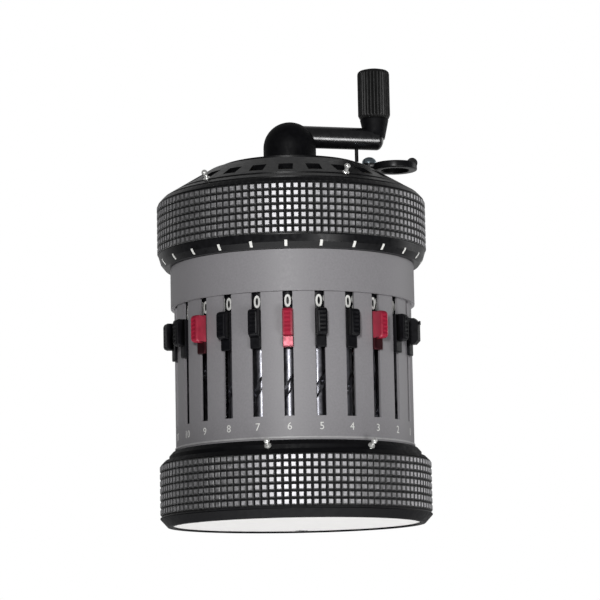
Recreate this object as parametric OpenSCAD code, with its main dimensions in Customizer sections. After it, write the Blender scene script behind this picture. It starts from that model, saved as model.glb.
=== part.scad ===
// Cylindrical hand-cranked pocket calculator.
// The axis of the machine is Z, its underside lies on z = 0 and the middle setting column faces -Y.
// Angles around the machine are counted from -Y towards +X. All lengths are millimetres.

/* [Knurled rings] */
// Outer diameter of the two knurled grip rings
ring_d = 65; // [63:0.5:68]
// Height of one knurl row
row_pitch = 1.715; // [1.6:0.005:1.9]
// Depth of the knurl grooves
knurl_depth = 0.5; // [0.3:0.05:0.6]

/* [Base] */
// Height of the plain foot under the lower knurl
foot_h = 2.62; // [2.5:0.02:3.2]
// Radial width of the chamfer at the lower edge of the base
foot_chamfer = 1.6; // [1.2:0.1:1.8]
// Height of the chamfer at the lower edge of the base
foot_chamfer_h = 1.9; // [1.4:0.1:1.9]
// Height of the sloped shoulder above the lower knurl
shoulder_h = 3.3; // [3:0.1:3.8]
// Thickness of the bottom plate
bottom_plate_t = 1.4; // [1.2:0.1:1.8]
// Depth that the bottom plate is set in from the foot
bottom_recess = 0.4; // [0.2:0.1:0.6]
// Radial width of the foot rim outside the bottom plate
rim_w = 1.3; // [1:0.1:1.6]
// Diameter of the shank of the bottom screws
bottom_screw_d = 1.8; // [1.4:0.1:2]

/* [Body] */
// Radial step from the grip rings in to the slotted sleeve
sleeve_step = 3.95; // [3.75:0.05:4.25]
// Wall of the slotted sleeve
sleeve_wall = 0.6; // [0.5:0.05:0.8]
// Visible height of the slotted sleeve
sleeve_h = 34.5; // [34:0.5:38]
// Wall of the collar around the top of the sleeve
collar_wall = 0.8; // [0.6:0.05:1]
// Height of the collar
collar_h = 9.75; // [9.5:0.25:12]
// Width of the setting slots
slot_w = 2.3; // [2.1:0.1:2.5]
// Height of the lower end of the slots above the base
slot_rise = 5.55; // [5:0.05:5.8]
// Angle between neighbouring columns
column_angle = 15; // [14.5:0.1:15]

/* [Bearing plates] */
// Thickness of the lower bearing plate
lower_plate_t = 2.5; // [2.2:0.1:3]
// Thickness of the upper bearing plate
upper_plate_t = 3; // [2.6:0.1:3.4]
// Depth of the upper bearing plate's top below the collar's top
upper_plate_drop = 4.2; // [3.8:0.1:4.6]
// Diameter of the pillars between the bearing plates
pillar_d = 4; // [3.4:0.1:4.4]
// Diameter of the shank of the pillar screws
pillar_screw_d = 1.6; // [1.2:0.1:1.8]
// Diameter of the screws through the collar
collar_screw_d = 1.4; // [1:0.1:1.6]
// Outer diameter of the neck that guides the carriage
neck_d = 17; // [16:0.25:17.5]

/* [Setting columns] */
// Diameter of the spiral setting shafts
setting_shaft_d = 4.1; // [3.9:0.05:4.2]
// Diameter of the number roll on each setting shaft
number_roll_d = 5.4; // [5.2:0.05:5.5]
// Height of the number roll
number_roll_h = 4.6; // [4.4:0.1:5]
// Travel of a slider for one digit
digit_step = 2; // [1.8:0.05:2]
// Depth of the spiral groove
groove_depth = 0.9; // [0.8:0.05:1]
// Width of the spiral groove across the shaft
groove_w = 2; // [1.9:0.1:2.2]
// Diameter of the pin that follows the spiral groove
follower_d = 1.1; // [1:0.1:1.2]
// Width of a slider's finger knob
slider_knob_w = 2.2; // [2.1:0.1:2.6]
// Height of a slider's finger knob
slider_knob_h = 6.2; // [5.8:0.1:6.3]
// How far the finger knobs stand out of the sleeve
slider_knob_out = 2.8; // [2.4:0.1:3]
// Height of the foot plate below the finger knob
slider_foot_h = 2.6; // [2:0.1:3]
// Distance between a setting shaft and its transmission shaft
column_depth = 6.6; // [6.4:0.1:7]

/* [Drive] */
// Diameter of the main shaft
main_shaft_d = 6; // [5.5:0.1:6.4]
// Diameter of the transmission shafts
transmission_d = 1.8; // [1.6:0.1:2]
// Gap between neighbouring sliding pinions
pinion_gap = 0.68; // [0.5:0.02:0.9]
// Depth of the teeth of the step drum
drum_tooth_depth = 1.8; // [1.4:0.1:2.2]
// Lift of the crank from its adding to its subtracting position
crank_lift = 3; // [2.6:0.1:3.2]

/* [Carriage] */
// Height of the sloped index band under the upper knurl
band_h = 3.15; // [2.8:0.05:3.6]
// Radial overhang of the index band over the collar
band_overhang = 1.3; // [1:0.1:1.6]
// Lift of the carriage that frees it to turn
carriage_lift = 2; // [1.6:0.1:2.2]
// Radial width of the knurled carriage ring
carriage_ring_w = 2.5; // [2.2:0.1:2.8]
// Height of the chamfered lip above the upper knurl
lip_h = 1.3; // [1:0.1:1.6]
// Rise of the conical lid above the lip
lid_rise = 6.9; // [6.5:0.1:7.3]
// Diameter of the flat top of the lid
lid_top_d = 40; // [39:0.5:41]
// Thickness of the lid
lid_t = 1.2; // [1:0.1:1.4]
// Width of the digit windows in the lid
window_w = 3.4; // [3:0.1:3.8]
// Length of the digit windows along the slope of the lid
window_l = 3.8; // [3.2:0.1:4.2]
// Diameter of the number dials under the lid
dial_d = 5; // [4.6:0.1:5.2]
// Length of the number dials
dial_l = 3.6; // [3:0.1:3.8]
// Diameter of the axles of the number dials
axle_d = 1.2; // [1:0.1:1.4]
// Thickness of the plate that carries the dials
dial_plate_t = 2.2; // [1.8:0.1:2.6]

/* [Clearing lever] */
// Diameter of the clearing plate on the lid
clearing_d = 35; // [33:0.5:36]
// Thickness of the clearing plate
clearing_t = 0.9; // [0.8:0.05:1]
// Radius from the machine's axis to the pivot of the clearing lever
lever_pivot_r = 19.3; // [18.8:0.1:19.6]
// Diameter of the lever's pivot screw
lever_pivot_d = 1.6; // [1.2:0.1:1.8]
// Thickness of the clearing lever at its pivot
lever_root_t = 0.95; // [0.85:0.05:1.1]
// Width of the clearing lever at its pivot
lever_w = 3.2; // [3:0.1:3.4]
// Thickness of the finger ring of the clearing lever
lever_t = 1.7; // [1.55:0.05:1.75]
// Outer diameter of the finger ring
lever_ring_d = 10.8; // [10:0.2:11.2]
// Hole of the finger ring
lever_hole_d = 6.8; // [6.4:0.1:7.2]
// Distance between the pivot and the middle of the finger ring
lever_arm = 6.25; // [6.1:0.05:6.4]
// Diameter of the rolled lip at the tip of the clearing lever
lever_lip_d = 2.6; // [2.2:0.1:2.8]
// Length of the rolled lip
lever_lip_l = 4; // [3.4:0.1:4.6]
// Direction of the clearing lever
lever_angle = 95; // [90:1:98]

/* [Crank] */
// Radius from the machine's axis to the crank knob
crank_r = 21.6; // [20.5:0.1:23]
// Direction of the crank at rest
crank_angle = 107; // [104:1:112]
// Diameter of the crank arm
arm_d = 5.4; // [5:0.1:6]
// Gap between the clearing plate and the crank arm
arm_gap = 5.35; // [5.05:0.1:6.05]
// Diameter of the crank hub
hub_d = 12.8; // [12:0.2:14]
// Height of the crank knob
knob_h = 12.5; // [11:0.25:13]
// Diameter of the crank knob
knob_d = 7.9; // [7.6:0.1:8.8]
// Length of the neck between the arm and the knob
knob_neck_h = 2.1; // [1.8:0.1:3.2]
// Diameter of the knob's spindle
spindle_d = 2.8; // [2.4:0.1:3]
// Diameter of the home pin under the crank arm
home_pin_d = 0.9; // [0.8:0.05:1]
// Radius from the machine's axis to the home pin
home_pin_r = 16.9; // [16.5:0.1:17]

/* [Small levers] */
// Direction of the left decimal marker on the base
base_marker_left = -9.5; // [-14:0.5:-8]
// Direction of the right decimal marker on the base
base_marker_right = 37; // [34:0.5:40]
// Direction of the left decimal marker on the lid
lid_marker_left = -40; // [-44:1:-36]
// Direction of the right decimal marker on the lid
lid_marker_right = 29; // [25:1:33]
// Diameter of the bead of a decimal marker
marker_bead_d = 1.5; // [1.3:0.1:1.7]
// Width of the counter reversing lever
reverser_w = 4; // [3.4:0.1:4.6]
// Height of the counter reversing lever's knob
reverser_h = 5; // [4.4:0.1:5.4]
// Travel of the counter reversing lever
reverser_travel = 5; // [4:0.5:5.5]

/* [Fits] */
// Radial clearance of a running fit
run = 0.06; // [0.03:0.01:0.1]
// Clearance between parts that move past each other
clear = 0.3; // [0.25:0.05:0.35]
// Clearance between parts that are seated on each other
seat = 0.05; // [0.03:0.01:0.08]

/* [Hidden] */
$fn = 64;
COLUMNS = 11;
ROWS = 7;
DIGITS = 9;
RED_COLUMNS = [3, 6, 9];
RESULT_DIALS = 15;
COUNTER_DIALS = 8;
PILLAR_ANGLES = [105, 150, 210, 255];
SCREW_ANGLES = [60, 180, 300];
COLLAR_SCREW_ANGLES = [120, 180, 240];
REVERSER_ANGLE = 180;
// Direction of the follower pin around its setting shaft, 0 faces the sleeve
FOLLOWER_ANGLE = -100;
PINION_TEETH = 8;
GROOVE_STEPS = 24;

// Distance that a cutting tool runs past the faces it opens
cut = 1;
// Slot in the head of a small screw
driver_w = 0.4;
driver_depth = 0.35;
head_t = 0.9;
head_ratio = 0.9;
// Smallest edge break
edge = 0.3;

// Radii of the body, from the outside inwards
ring_r = ring_d / 2;
sleeve_r = ring_r - sleeve_step;
sleeve_in = sleeve_r - sleeve_wall;
collar_r = sleeve_r + seat + collar_wall;
web_w = 2;
web_r = sleeve_r - web_w;
foot_r = ring_r - foot_chamfer;
rim_in = foot_r - rim_w;
shoulder_r = ring_r - edge;
shoulder_top_w = 0.6;
shoulder_top_r = sleeve_r + seat + shoulder_top_w;
bottom_screw_r = (web_r + sleeve_r) / 2;
bottom_screw_l = 4.5;
bottom_tap = 5;

// Radii of the works
roll_r = number_roll_d / 2;
shaft_r = setting_shaft_d / 2;
journal_r = 0.8;
setting_r = sleeve_in - clear - roll_r;
carrier_wall = 0.6;
carrier_r = shaft_r + run + carrier_wall;
transmission_r = setting_r - column_depth;
pinion_r = transmission_r * sin(column_angle / 2) - pinion_gap / 2;
drum_r = transmission_r - pinion_r - clear;
main_r = main_shaft_d / 2;
bush_wall = 1.8;
bush_flange_w = 2;
bush_r = main_r + run + bush_wall;
bush_flange_r = bush_r + bush_flange_w;
thrust_r = main_r + 1.5;
clip_r = main_r + 2;
neck_r = neck_d / 2;
lifter_wall = 1.6;
lifter_r = neck_r + run + lifter_wall;
lifter_flange_w = 2.2;
lifter_flange_t = 1.6;
lifter_flange_r = lifter_r + lifter_flange_w;

// Heights of the body
knurl_h = ROWS * row_pitch;
shoulder_z = foot_h + knurl_h;
base_top = shoulder_z + shoulder_h;
bottom_plate_top = bottom_recess + bottom_plate_t;
lower_plate_drop = 0.6;
lower_plate_z = shoulder_z - lower_plate_drop;
lower_plate_top = lower_plate_z + lower_plate_t;
collar_z = base_top + sleeve_h;
collar_top = collar_z + collar_h;
slot_z = base_top + slot_rise;
upper_plate_top = collar_top - upper_plate_drop;
upper_plate_z = upper_plate_top - upper_plate_t;
socket_depth = 1.8;
slot_overlap = 1;
collar_screw_z = upper_plate_z + upper_plate_t / 2;
collar_screw_depth = 4;
pillar_h = upper_plate_z - lower_plate_top;
pillar_tap = 5;
pillar_screw_l = pillar_tap - 1;

// Heights of the setting columns
roll_overlap = 0.6;
roll_z = collar_z - number_roll_h + roll_overlap;
slider_top = roll_z - clear - seat;
slider_knob_z = slider_top - slider_knob_h;
slider_travel = DIGITS * digit_step;
carrier_h = slider_knob_h + clear;
carrier_z = roll_z - clear - carrier_h;
follower_z = carrier_z + carrier_h / 2;
groove_run_out = 1.5;
groove_z = carrier_z - slider_travel - groove_run_out;
groove_h = roll_z - clear - groove_z;
groove_lead = (DIGITS + 1) * digit_step;
eye_t = 1.4;
pinion_t = 2;
pinion_z = carrier_z - seat - pinion_t;

// Sections of a slider
slider_gap = clear / 2;
slider_foot_t = 0.7;
slider_foot_w = slot_w + 0.1;
follower_root = 0.2;
slider_neck_w = slot_w - clear;
knob_chamfer = 0.9;
eye_wall = 0.8;
eye_r = transmission_d / 2 + slider_gap + eye_wall;
fork_w = 2;

// Heights of the drive
bush_rise = 1;
lift_spare = 0.5;
bush_top = lower_plate_top + bush_rise;
bush_flange_t = 1.2;
bush_flange_top = lower_plate_z - crank_lift - lift_spare;
bush_z = bush_flange_top - bush_flange_t;
clip_t = 1;
clip_z = bush_z - seat - clip_t;
shaft_end = 1.5;
main_shaft_z = clip_z - shaft_end;
thrust_t = 1.2;
thrust_z = bush_top + seat;
drum_z = thrust_z + thrust_t + seat;
bell_t = 2.2;
bell_z = upper_plate_z - crank_lift - lift_spare - bell_t;
bell_step = 1;
drum_h = bell_z - seat - drum_z;
drum_core_r = drum_r - drum_tooth_depth;
drum_tooth_w = 1.2;
drum_foot = 1;
drum_tooth_angle = 18;
top_gear_z = upper_plate_top + clear;
bush_rim_t = 0.8;
bush_rim_r = neck_r - 1;
top_gear_t = 1.4;

// Carriage
carriage_z = collar_top + seat;
ring_z = carriage_z + band_h;
ring_in = ring_r - carriage_ring_w;
band_r = collar_r + band_overhang;
band_edge_h = 0.2;
band_knee_r = shoulder_r - 0.5;
band_knee_h = 1.3;
upper_knurl_z = ring_z + seat;
lip_z = upper_knurl_z + knurl_h;
lip_top = lip_z + lip_h;
lip_chamfer = 1.1;
lip_r = ring_r - lip_chamfer;
neck_drop = 2;
neck_top = lip_top - neck_drop;
lifter_drop = 2.5;
lifter_top = neck_top - lifter_drop;
lid_seat_w = 0.9;
lid_edge_r = ring_in + lid_seat_w;
lid_top_r = lid_top_d / 2;
lid_edge_h = 0.4;
lid_edge_z = lip_top + lid_edge_h;
lid_top = lip_top + lid_rise;
lid_slope = (lid_top - lid_edge_z) / (lid_edge_r - lid_top_r);
lid_tilt = atan(lid_slope);
lid_drop = lid_t / cos(lid_tilt);
lid_inner_r = lid_edge_r - (lid_drop - (lid_edge_z - lip_top - seat)) / lid_slope;
window_r = (lid_edge_r + lid_top_r) / 2;
window_z = lid_edge_z + lid_slope * (lid_edge_r - window_r);
dial_drop = lid_t + clear + dial_d / 2;
dial_plate_top = ring_z + dial_plate_t;
dial_r = window_r - dial_drop * sin(lid_tilt);
dial_ring_w = 1.6;
dial_ring_r = dial_r - dial_l / 2 - dial_ring_w - clear;
dial_ring_gap = 0.8;
axle_end = 0.4;
axle_reach = (dial_r - dial_ring_r + dial_ring_w / 2) / cos(lid_tilt);

// Clearing lever
hub_r = hub_d / 2;
guide_wall = 1;
guide_r = hub_r + clear + guide_wall;
clearing_z = lid_top + seat;
clearing_top = clearing_z + clearing_t;
lever_root_z = clearing_top + seat;
lever_top = lever_root_z + lever_root_t;
lever_z = lever_top - lever_t;
lever_lip_y = lever_arm + lever_ring_d / 2 - lever_lip_d / 2;
lever_lip_z = lever_top - 0.15;
lever_lip_wall = 0.8;
pivot_head_w = 0.95;
pivot_head_r = lever_pivot_d / 2 + pivot_head_w;
pivot_head_t = 1.65;
pivot_head_chamfer = 1;

// Crank
arm_z = clearing_top + arm_gap + arm_d / 2;
hub_sink = 0.5;
hub_z = lid_top - hub_sink;
hub_crown = 0.7;
hub_centre_z = arm_z + arm_d / 2 + hub_crown - hub_r;
home_pin_z = clearing_top + carriage_lift + clear;
arm_overhang = 1.1;
arm_chamfer = 1;
main_shaft_top = arm_z;
knob_z = arm_z + arm_d / 2 + knob_neck_h;
knob_top = knob_z + knob_h;
knob_r = knob_d / 2;
knob_foot_r = knob_r - 0.7;
knob_foot_h = 0.8;
knob_crown = 1;
knob_neck_r = knob_r - 0.45;
knob_neck_taper = 1;
spindle_sink = 0.2;
spindle_head_r = spindle_d / 2 + 0.7;
spindle_head_t = 0.9;

// Small levers
marker_groove_w = 1;
marker_groove_depth = 0.7;
marker_cap_w = 1.7;
marker_cap_l = 1.7;
marker_cap_t = 0.5;
marker_stem_d = 1;
marker_stem_h = 0.9;
marker_bead_h = 1.1;
base_marker_r = (shoulder_r + shoulder_top_r) / 2;
shoulder_slope = shoulder_h / (shoulder_r - shoulder_top_r);
shoulder_tilt = atan(shoulder_slope);
base_marker_z = base_top - shoulder_slope * (base_marker_r - shoulder_top_r);
window_out_r = window_r + window_l / 2 * cos(lid_tilt);
lid_marker_r = (window_out_r + lid_edge_r) / 2;
lid_marker_z = lid_edge_z + lid_slope * (lid_edge_r - lid_marker_r);
reverser_drop = 4;
reverser_top = collar_z - reverser_drop;
reverser_z = reverser_top - reverser_h;
reverser_step = 0.7;
reverser_neck_w = reverser_w - 2 * reverser_step;
reverser_plate_t = 1;
reverser_block_t = 2.2;
reverser_out = slider_knob_out;

function column_a(k) = (k - (COLUMNS + 1) / 2) * column_angle;
function result_a(i) = column_a(1) + i * column_angle;
function counter_a(i) = result_a(RESULT_DIALS) + i * column_angle;
function is_red(k) = len([for (c = RED_COLUMNS) if (c == k) c]) > 0;
function two_digits(k) = k < 10 ? str("0", k) : str(k);
SHAFT_ANGLES = concat(
    [for (k = [1 : COLUMNS]) column_a(k)],
    [for (i = [0 : COUNTER_DIALS - 1]) counter_a(i)]
);

// Outline of the knurl rows, upwards from height z
function knurl_points(z) = concat(
    [for (i = [0 : ROWS - 1]) each [
        [ring_r - knurl_depth, z + i * row_pitch],
        [ring_r, z + (i + 0.28) * row_pitch],
        [ring_r, z + (i + 0.72) * row_pitch]
    ]],
    [[ring_r - knurl_depth, z + knurl_h]]
);

// Points of a pinion's outline
function pinion_points(r_tip, teeth) = [
    for (i = [0 : teeth - 1], p = [[-0.3, 1], [-0.14, 0], [0.14, 0], [0.3, 1]])
        let (r = p[1] == 0 ? r_tip : r_tip * 0.72, a = (i + p[0]) * 360 / teeth)
            [r * sin(a), -r * cos(a)]
];

// Turns a piece to its place around the machine
module around(a) {
    rotate([0, 0, a]) children();
}

// Moves a piece outwards and upwards on the -Y side
module out_at(r, z) {
    translate([0, -r, z]) children();
}

module tube(outer, inner, z, h) {
    translate([0, 0, z]) difference() {
        cylinder(r = outer, h = h);
        translate([0, 0, -cut]) cylinder(r = inner, h = h + 2 * cut);
    }
}

module rod(r, z, h) {
    translate([0, 0, z]) cylinder(r = r, h = h);
}

// Block that is centred across x and runs from radius r_in to r_out on the -Y side
module block(w, r_in, r_out, z, h) {
    translate([-w / 2, -r_out, z]) cube([w, r_out - r_in, h]);
}

// Upright screw whose head stands on z = 0 and whose shank goes down
module upright_screw(d, length) {
    difference() {
        union() {
            rod(d * head_ratio, 0, head_t);
            rod(d / 2, -length, length + head_t / 2);
        }
        translate([-d, -driver_w / 2, head_t - driver_depth]) cube([2 * d, driver_w, driver_depth + cut]);
    }
}

// Frame of a window in the slope of the lid: local Z leaves the lid, local Y points inwards
module on_slope(a) {
    around(a) out_at(window_r, window_z) rotate([lid_tilt, 0, 0]) children();
}

// Casing

module base_ring() {
    color("#1c1c1f") difference() {
        rotate_extrude() polygon(concat(
            [[rim_in, 0], [foot_r, 0], [ring_r, foot_chamfer_h], [ring_r, foot_h - knurl_depth]],
            knurl_points(foot_h),
            [[shoulder_r, shoulder_z], [shoulder_top_r, base_top], [sleeve_r + seat, base_top],
             [sleeve_r + seat, lower_plate_z], [web_r, lower_plate_z], [web_r, bottom_plate_top],
             [rim_in, bottom_plate_top]]
        ));
        marker_groove(base_marker_r, base_marker_z);
        for (a = SCREW_ANGLES)
            around(a) out_at(bottom_screw_r, bottom_plate_top - cut)
                cylinder(d = bottom_screw_d + 2 * seat, h = bottom_tap + cut);
    }
}

module bottom_plate() {
    color("#e6e6e4") difference() {
        rod(rim_in - seat, bottom_recess, bottom_plate_t);
        for (a = SCREW_ANGLES) around(a) out_at(bottom_screw_r, 0) {
            cylinder(d = bottom_screw_d + 2 * seat, h = bottom_plate_top + cut);
            cylinder(r = bottom_screw_d * head_ratio + seat, h = bottom_recess + head_t + seat);
        }
    }
}

module casing_screws() {
    color("silver") for (a = SCREW_ANGLES)
        around(a) out_at(bottom_screw_r, bottom_recess + head_t) mirror([0, 0, 1])
            upright_screw(bottom_screw_d, bottom_screw_l);
    color("silver") for (a = COLLAR_SCREW_ANGLES)
        around(a) out_at(collar_r - seat, collar_screw_z) rotate([-90, 0, 0]) difference() {
            cylinder(d = collar_screw_d, h = collar_screw_depth - seat);
            translate([-collar_screw_d, -driver_w / 2, -cut])
                cube([2 * collar_screw_d, driver_w, driver_depth + cut]);
        }
}

module slotted_sleeve() {
    color("#8f8f8d") difference() {
        tube(sleeve_r, sleeve_in, lower_plate_top, collar_top - lower_plate_top);
        for (k = [1 : COLUMNS]) around(column_a(k))
            block(slot_w, sleeve_in - cut, sleeve_r + cut, slot_z, collar_z + slot_overlap - slot_z);
        around(REVERSER_ANGLE) block(
            reverser_neck_w + clear, sleeve_in - cut, sleeve_r + cut,
            reverser_z + reverser_step - reverser_travel - clear,
            reverser_h - 2 * reverser_step + reverser_travel + 2 * clear);
        for (a = COLLAR_SCREW_ANGLES) collar_screw_hole(a);
    }
}

module upper_collar() {
    color("#8c8c88") difference() {
        tube(collar_r, sleeve_r + seat, collar_z, collar_h);
        for (a = COLLAR_SCREW_ANGLES) collar_screw_hole(a);
    }
}

module collar_screw_hole(a) {
    around(a) out_at(collar_r + cut, collar_screw_z) rotate([-90, 0, 0])
        cylinder(d = collar_screw_d + 2 * seat, h = collar_screw_depth + cut + seat);
}

// Frame

module lower_bearing_plate() {
    color("#b8a070") difference() {
        rod(sleeve_r, lower_plate_z, lower_plate_t);
        rod(bush_r + run, lower_plate_z - cut, lower_plate_t + 2 * cut);
        for (k = [1 : COLUMNS])
            around(column_a(k)) out_at(setting_r, lower_plate_top - socket_depth)
                cylinder(r = journal_r + run, h = socket_depth + cut);
        for (a = SHAFT_ANGLES)
            around(a) out_at(transmission_r, lower_plate_top - socket_depth)
                cylinder(d = transmission_d + 2 * seat, h = socket_depth + cut);
        for (a = PILLAR_ANGLES)
            around(a) out_at(setting_r, lower_plate_z - cut)
                cylinder(d = pillar_screw_d + 2 * seat, h = lower_plate_t + 2 * cut);
    }
}

module upper_bearing_plate() {
    color("#b8a070") difference() {
        union() {
            rod(sleeve_in - seat, upper_plate_z, upper_plate_t);
            rod(neck_r, upper_plate_z, neck_top - upper_plate_z);
        }
        rod(bush_r + seat, upper_plate_z - cut, neck_top - upper_plate_z + 2 * cut);
        for (k = [1 : COLUMNS])
            around(column_a(k)) out_at(setting_r, upper_plate_z - cut)
                cylinder(r = journal_r + run, h = socket_depth + cut);
        for (a = SHAFT_ANGLES)
            around(a) out_at(transmission_r, upper_plate_z - cut)
                cylinder(d = transmission_d + 2 * seat, h = upper_plate_t + 2 * cut);
        for (a = PILLAR_ANGLES)
            around(a) out_at(setting_r, upper_plate_z - cut)
                cylinder(d = pillar_screw_d + 2 * seat, h = upper_plate_t + 2 * cut);
        for (a = COLLAR_SCREW_ANGLES) collar_screw_hole(a);
    }
}

module frame_pillars() {
    color("silver") for (a = PILLAR_ANGLES) around(a) out_at(setting_r, lower_plate_top) difference() {
        cylinder(d = pillar_d, h = pillar_h);
        translate([0, 0, -cut]) cylinder(d = pillar_screw_d + 2 * seat, h = pillar_tap + cut);
        translate([0, 0, pillar_h - pillar_tap])
            cylinder(d = pillar_screw_d + 2 * seat, h = pillar_tap + cut);
    }
}

module pillar_screws() {
    color("dimgray") for (a = PILLAR_ANGLES) around(a) {
        out_at(setting_r, upper_plate_top) upright_screw(pillar_screw_d, upper_plate_t + pillar_screw_l);
        out_at(setting_r, lower_plate_z) mirror([0, 0, 1])
            upright_screw(pillar_screw_d, lower_plate_t + pillar_screw_l);
    }
}

module transmission_shafts() {
    shaft_z = lower_plate_top - socket_depth + seat;
    color("silver") for (a = SHAFT_ANGLES) around(a) out_at(transmission_r, 0) {
        rod(transmission_d / 2, shaft_z, top_gear_z + top_gear_t - shaft_z);
        translate([0, 0, top_gear_z]) linear_extrude(top_gear_t)
            polygon(pinion_points(pinion_r, PINION_TEETH));
    }
}

module upper_bush() {
    color("#b08040") union() {
        tube(bush_r, main_r + run, upper_plate_z, neck_top + seat - upper_plate_z);
        tube(bush_rim_r, main_r + run, neck_top + seat, bush_rim_t);
    }
}

// Crank drive

module lift_bush() {
    color("#b08040") union() {
        tube(bush_r, main_r + run, bush_z, bush_top - bush_z);
        tube(bush_flange_r, main_r + run, bush_z, bush_flange_t);
    }
}

module main_shaft() {
    color("silver") union() {
        rod(main_r, main_shaft_z, main_shaft_top - main_shaft_z);
        rod(thrust_r, thrust_z, thrust_t);
    }
}

module shaft_clip() {
    color("dimgray") tube(clip_r, main_r + seat, clip_z, clip_t);
}

module step_drum() {
    color("#a8a8ac") difference() {
        union() {
            rod(drum_core_r, drum_z, drum_h);
            for (i = [1 : DIGITS]) around(180 + (i - (DIGITS + 1) / 2) * drum_tooth_angle)
                block(drum_tooth_w, drum_core_r - cut, drum_r, drum_z + drum_foot,
                      pinion_z + pinion_t - i * digit_step - drum_z - drum_foot);
        }
        rod(main_r + seat, drum_z - cut, drum_h + 2 * cut);
    }
}

module carry_bell() {
    color("#a8a8ac") difference() {
        union() {
            rod(drum_r - bell_step, bell_z, bell_t);
            around(180) block(drum_tooth_w, drum_core_r - cut, drum_r, bell_z, bell_t);
        }
        rod(main_r + seat, bell_z - cut, bell_t + 2 * cut);
    }
}

module crank_arm() {
    end_r = arm_d / 2;
    color("#141416") difference() {
        union() {
            rod(hub_r, hub_z, hub_centre_z - hub_z);
            translate([0, 0, hub_centre_z]) intersection() {
                sphere(r = hub_r);
                cylinder(r = 2 * hub_r, h = 2 * hub_r);
            }
            around(crank_angle) out_at(0, arm_z) rotate([90, 0, 0]) {
                cylinder(r = end_r, h = crank_r + arm_overhang);
                translate([0, 0, crank_r + arm_overhang])
                    cylinder(r1 = end_r, r2 = end_r - arm_chamfer, h = arm_chamfer);
            }
            around(crank_angle) out_at(crank_r, arm_z)
                cylinder(r1 = knob_neck_r - knob_neck_taper, r2 = knob_neck_r, h = knob_z - seat - arm_z);
        }
        rod(main_r + seat, hub_z - cut, main_shaft_top + seat - hub_z + cut);
        around(crank_angle) out_at(home_pin_r, home_pin_z)
            cylinder(d = home_pin_d + 2 * seat, h = arm_z + seat - home_pin_z);
        around(crank_angle) out_at(crank_r, arm_z)
            cylinder(d = spindle_d + 2 * seat, h = knob_z - arm_z + cut);
    }
}

module crank_home_pin() {
    color("#303034") around(crank_angle) out_at(home_pin_r, home_pin_z)
        cylinder(d = home_pin_d, h = arm_z - home_pin_z);
}

module knob_spindle() {
    color("silver") around(crank_angle) out_at(crank_r, 0) difference() {
        union() {
            rod(spindle_d / 2, arm_z + seat, knob_top - spindle_head_t - arm_z);
            rod(spindle_head_r, knob_top - spindle_head_t - spindle_sink, spindle_head_t);
        }
        translate([-knob_d, -driver_w / 2, knob_top - spindle_sink - driver_depth])
            cube([2 * knob_d, driver_w, driver_depth + cut]);
    }
}

module crank_knob() {
    seat_z = knob_top - spindle_head_t - spindle_sink - seat;
    bore_r = spindle_d / 2 + run;
    recess_r = spindle_head_r + run;
    color("#1a1a1c") around(crank_angle) out_at(crank_r, 0) rotate_extrude() polygon([
        [bore_r, knob_z], [knob_foot_r, knob_z], [knob_r, knob_z + knob_foot_h],
        [knob_r, knob_top - knob_crown], [knob_r - knob_crown, knob_top], [recess_r, knob_top],
        [recess_r, seat_z], [bore_r, seat_z]
    ]);
}

// Carriage

module carriage_lifter() {
    color("silver") union() {
        tube(lifter_r, neck_r + run, upper_plate_top + seat, lifter_top - upper_plate_top);
        tube(lifter_flange_r, neck_r + run, ring_z - seat - lifter_flange_t, lifter_flange_t);
    }
}

module index_band() {
    color("#19191b") rotate_extrude() polygon([
        [sleeve_in, carriage_z], [band_r, carriage_z], [band_knee_r, carriage_z + band_knee_h],
        [shoulder_r, ring_z - band_edge_h], [shoulder_r, ring_z], [sleeve_in, ring_z]
    ]);
}

module dial_plate() {
    color("#b8a070") tube(ring_in - seat, lifter_r + run, ring_z, dial_plate_t);
}

module carriage_ring() {
    color("#1c1c1f") rotate_extrude() polygon(concat(
        [[ring_in, ring_z], [ring_r - knurl_depth, ring_z]],
        knurl_points(upper_knurl_z),
        [[ring_r - edge, lip_z + edge], [lip_r, lip_top], [ring_in, lip_top]]
    ));
}

module carriage_lid() {
    color("#19191b") difference() {
        rotate_extrude() polygon([
            [lid_inner_r, lip_top + seat], [lid_edge_r, lip_top + seat], [lid_edge_r, lid_edge_z],
            [lid_top_r, lid_top], [guide_r + run, lid_top], [guide_r + run, lid_top - lid_t],
            [lid_top_r - lid_t * tan(lid_tilt / 2), lid_top - lid_t]
        ]);
        for (i = [0 : RESULT_DIALS + COUNTER_DIALS - 1])
            on_slope(result_a(i)) cube([window_w, window_l, 4 * lid_t], center = true);
        marker_groove(lid_marker_r, lid_marker_z);
    }
}

module dial_ring() {
    color("#b8a070") difference() {
        tube(dial_ring_r + dial_ring_w / 2, dial_ring_r - dial_ring_w / 2, dial_plate_top,
             lid_top - lid_t - dial_ring_gap - dial_plate_top);
        for (i = [0 : RESULT_DIALS + COUNTER_DIALS - 1]) axle_place(result_a(i))
            translate([0, 0, -cut]) cylinder(d = axle_d + 2 * seat, h = axle_reach + 2 * cut);
    }
}

// Axis of the dial under a window, pointing inwards
module axle_place(a) {
    on_slope(a) translate([0, 0, -dial_drop]) rotate([-90, 0, 0]) children();
}

module dial_axles() {
    color("silver") for (i = [0 : RESULT_DIALS + COUNTER_DIALS - 1]) axle_place(result_a(i))
        translate([0, 0, -dial_l / 2 - axle_end])
            cylinder(d = axle_d, h = axle_reach + dial_l / 2 + axle_end);
}

module dial(a) {
    axle_place(a) difference() {
        cylinder(d = dial_d, h = dial_l, center = true);
        cylinder(d = axle_d + 2 * run, h = dial_l + 2 * cut, center = true);
    }
}

module result_dials() {
    color("#202022") for (i = [0 : RESULT_DIALS - 1]) dial(result_a(i));
}

module counter_dials() {
    color("#e8e8e4") for (i = [1 : COUNTER_DIALS - 1]) dial(counter_a(i));
}

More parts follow.
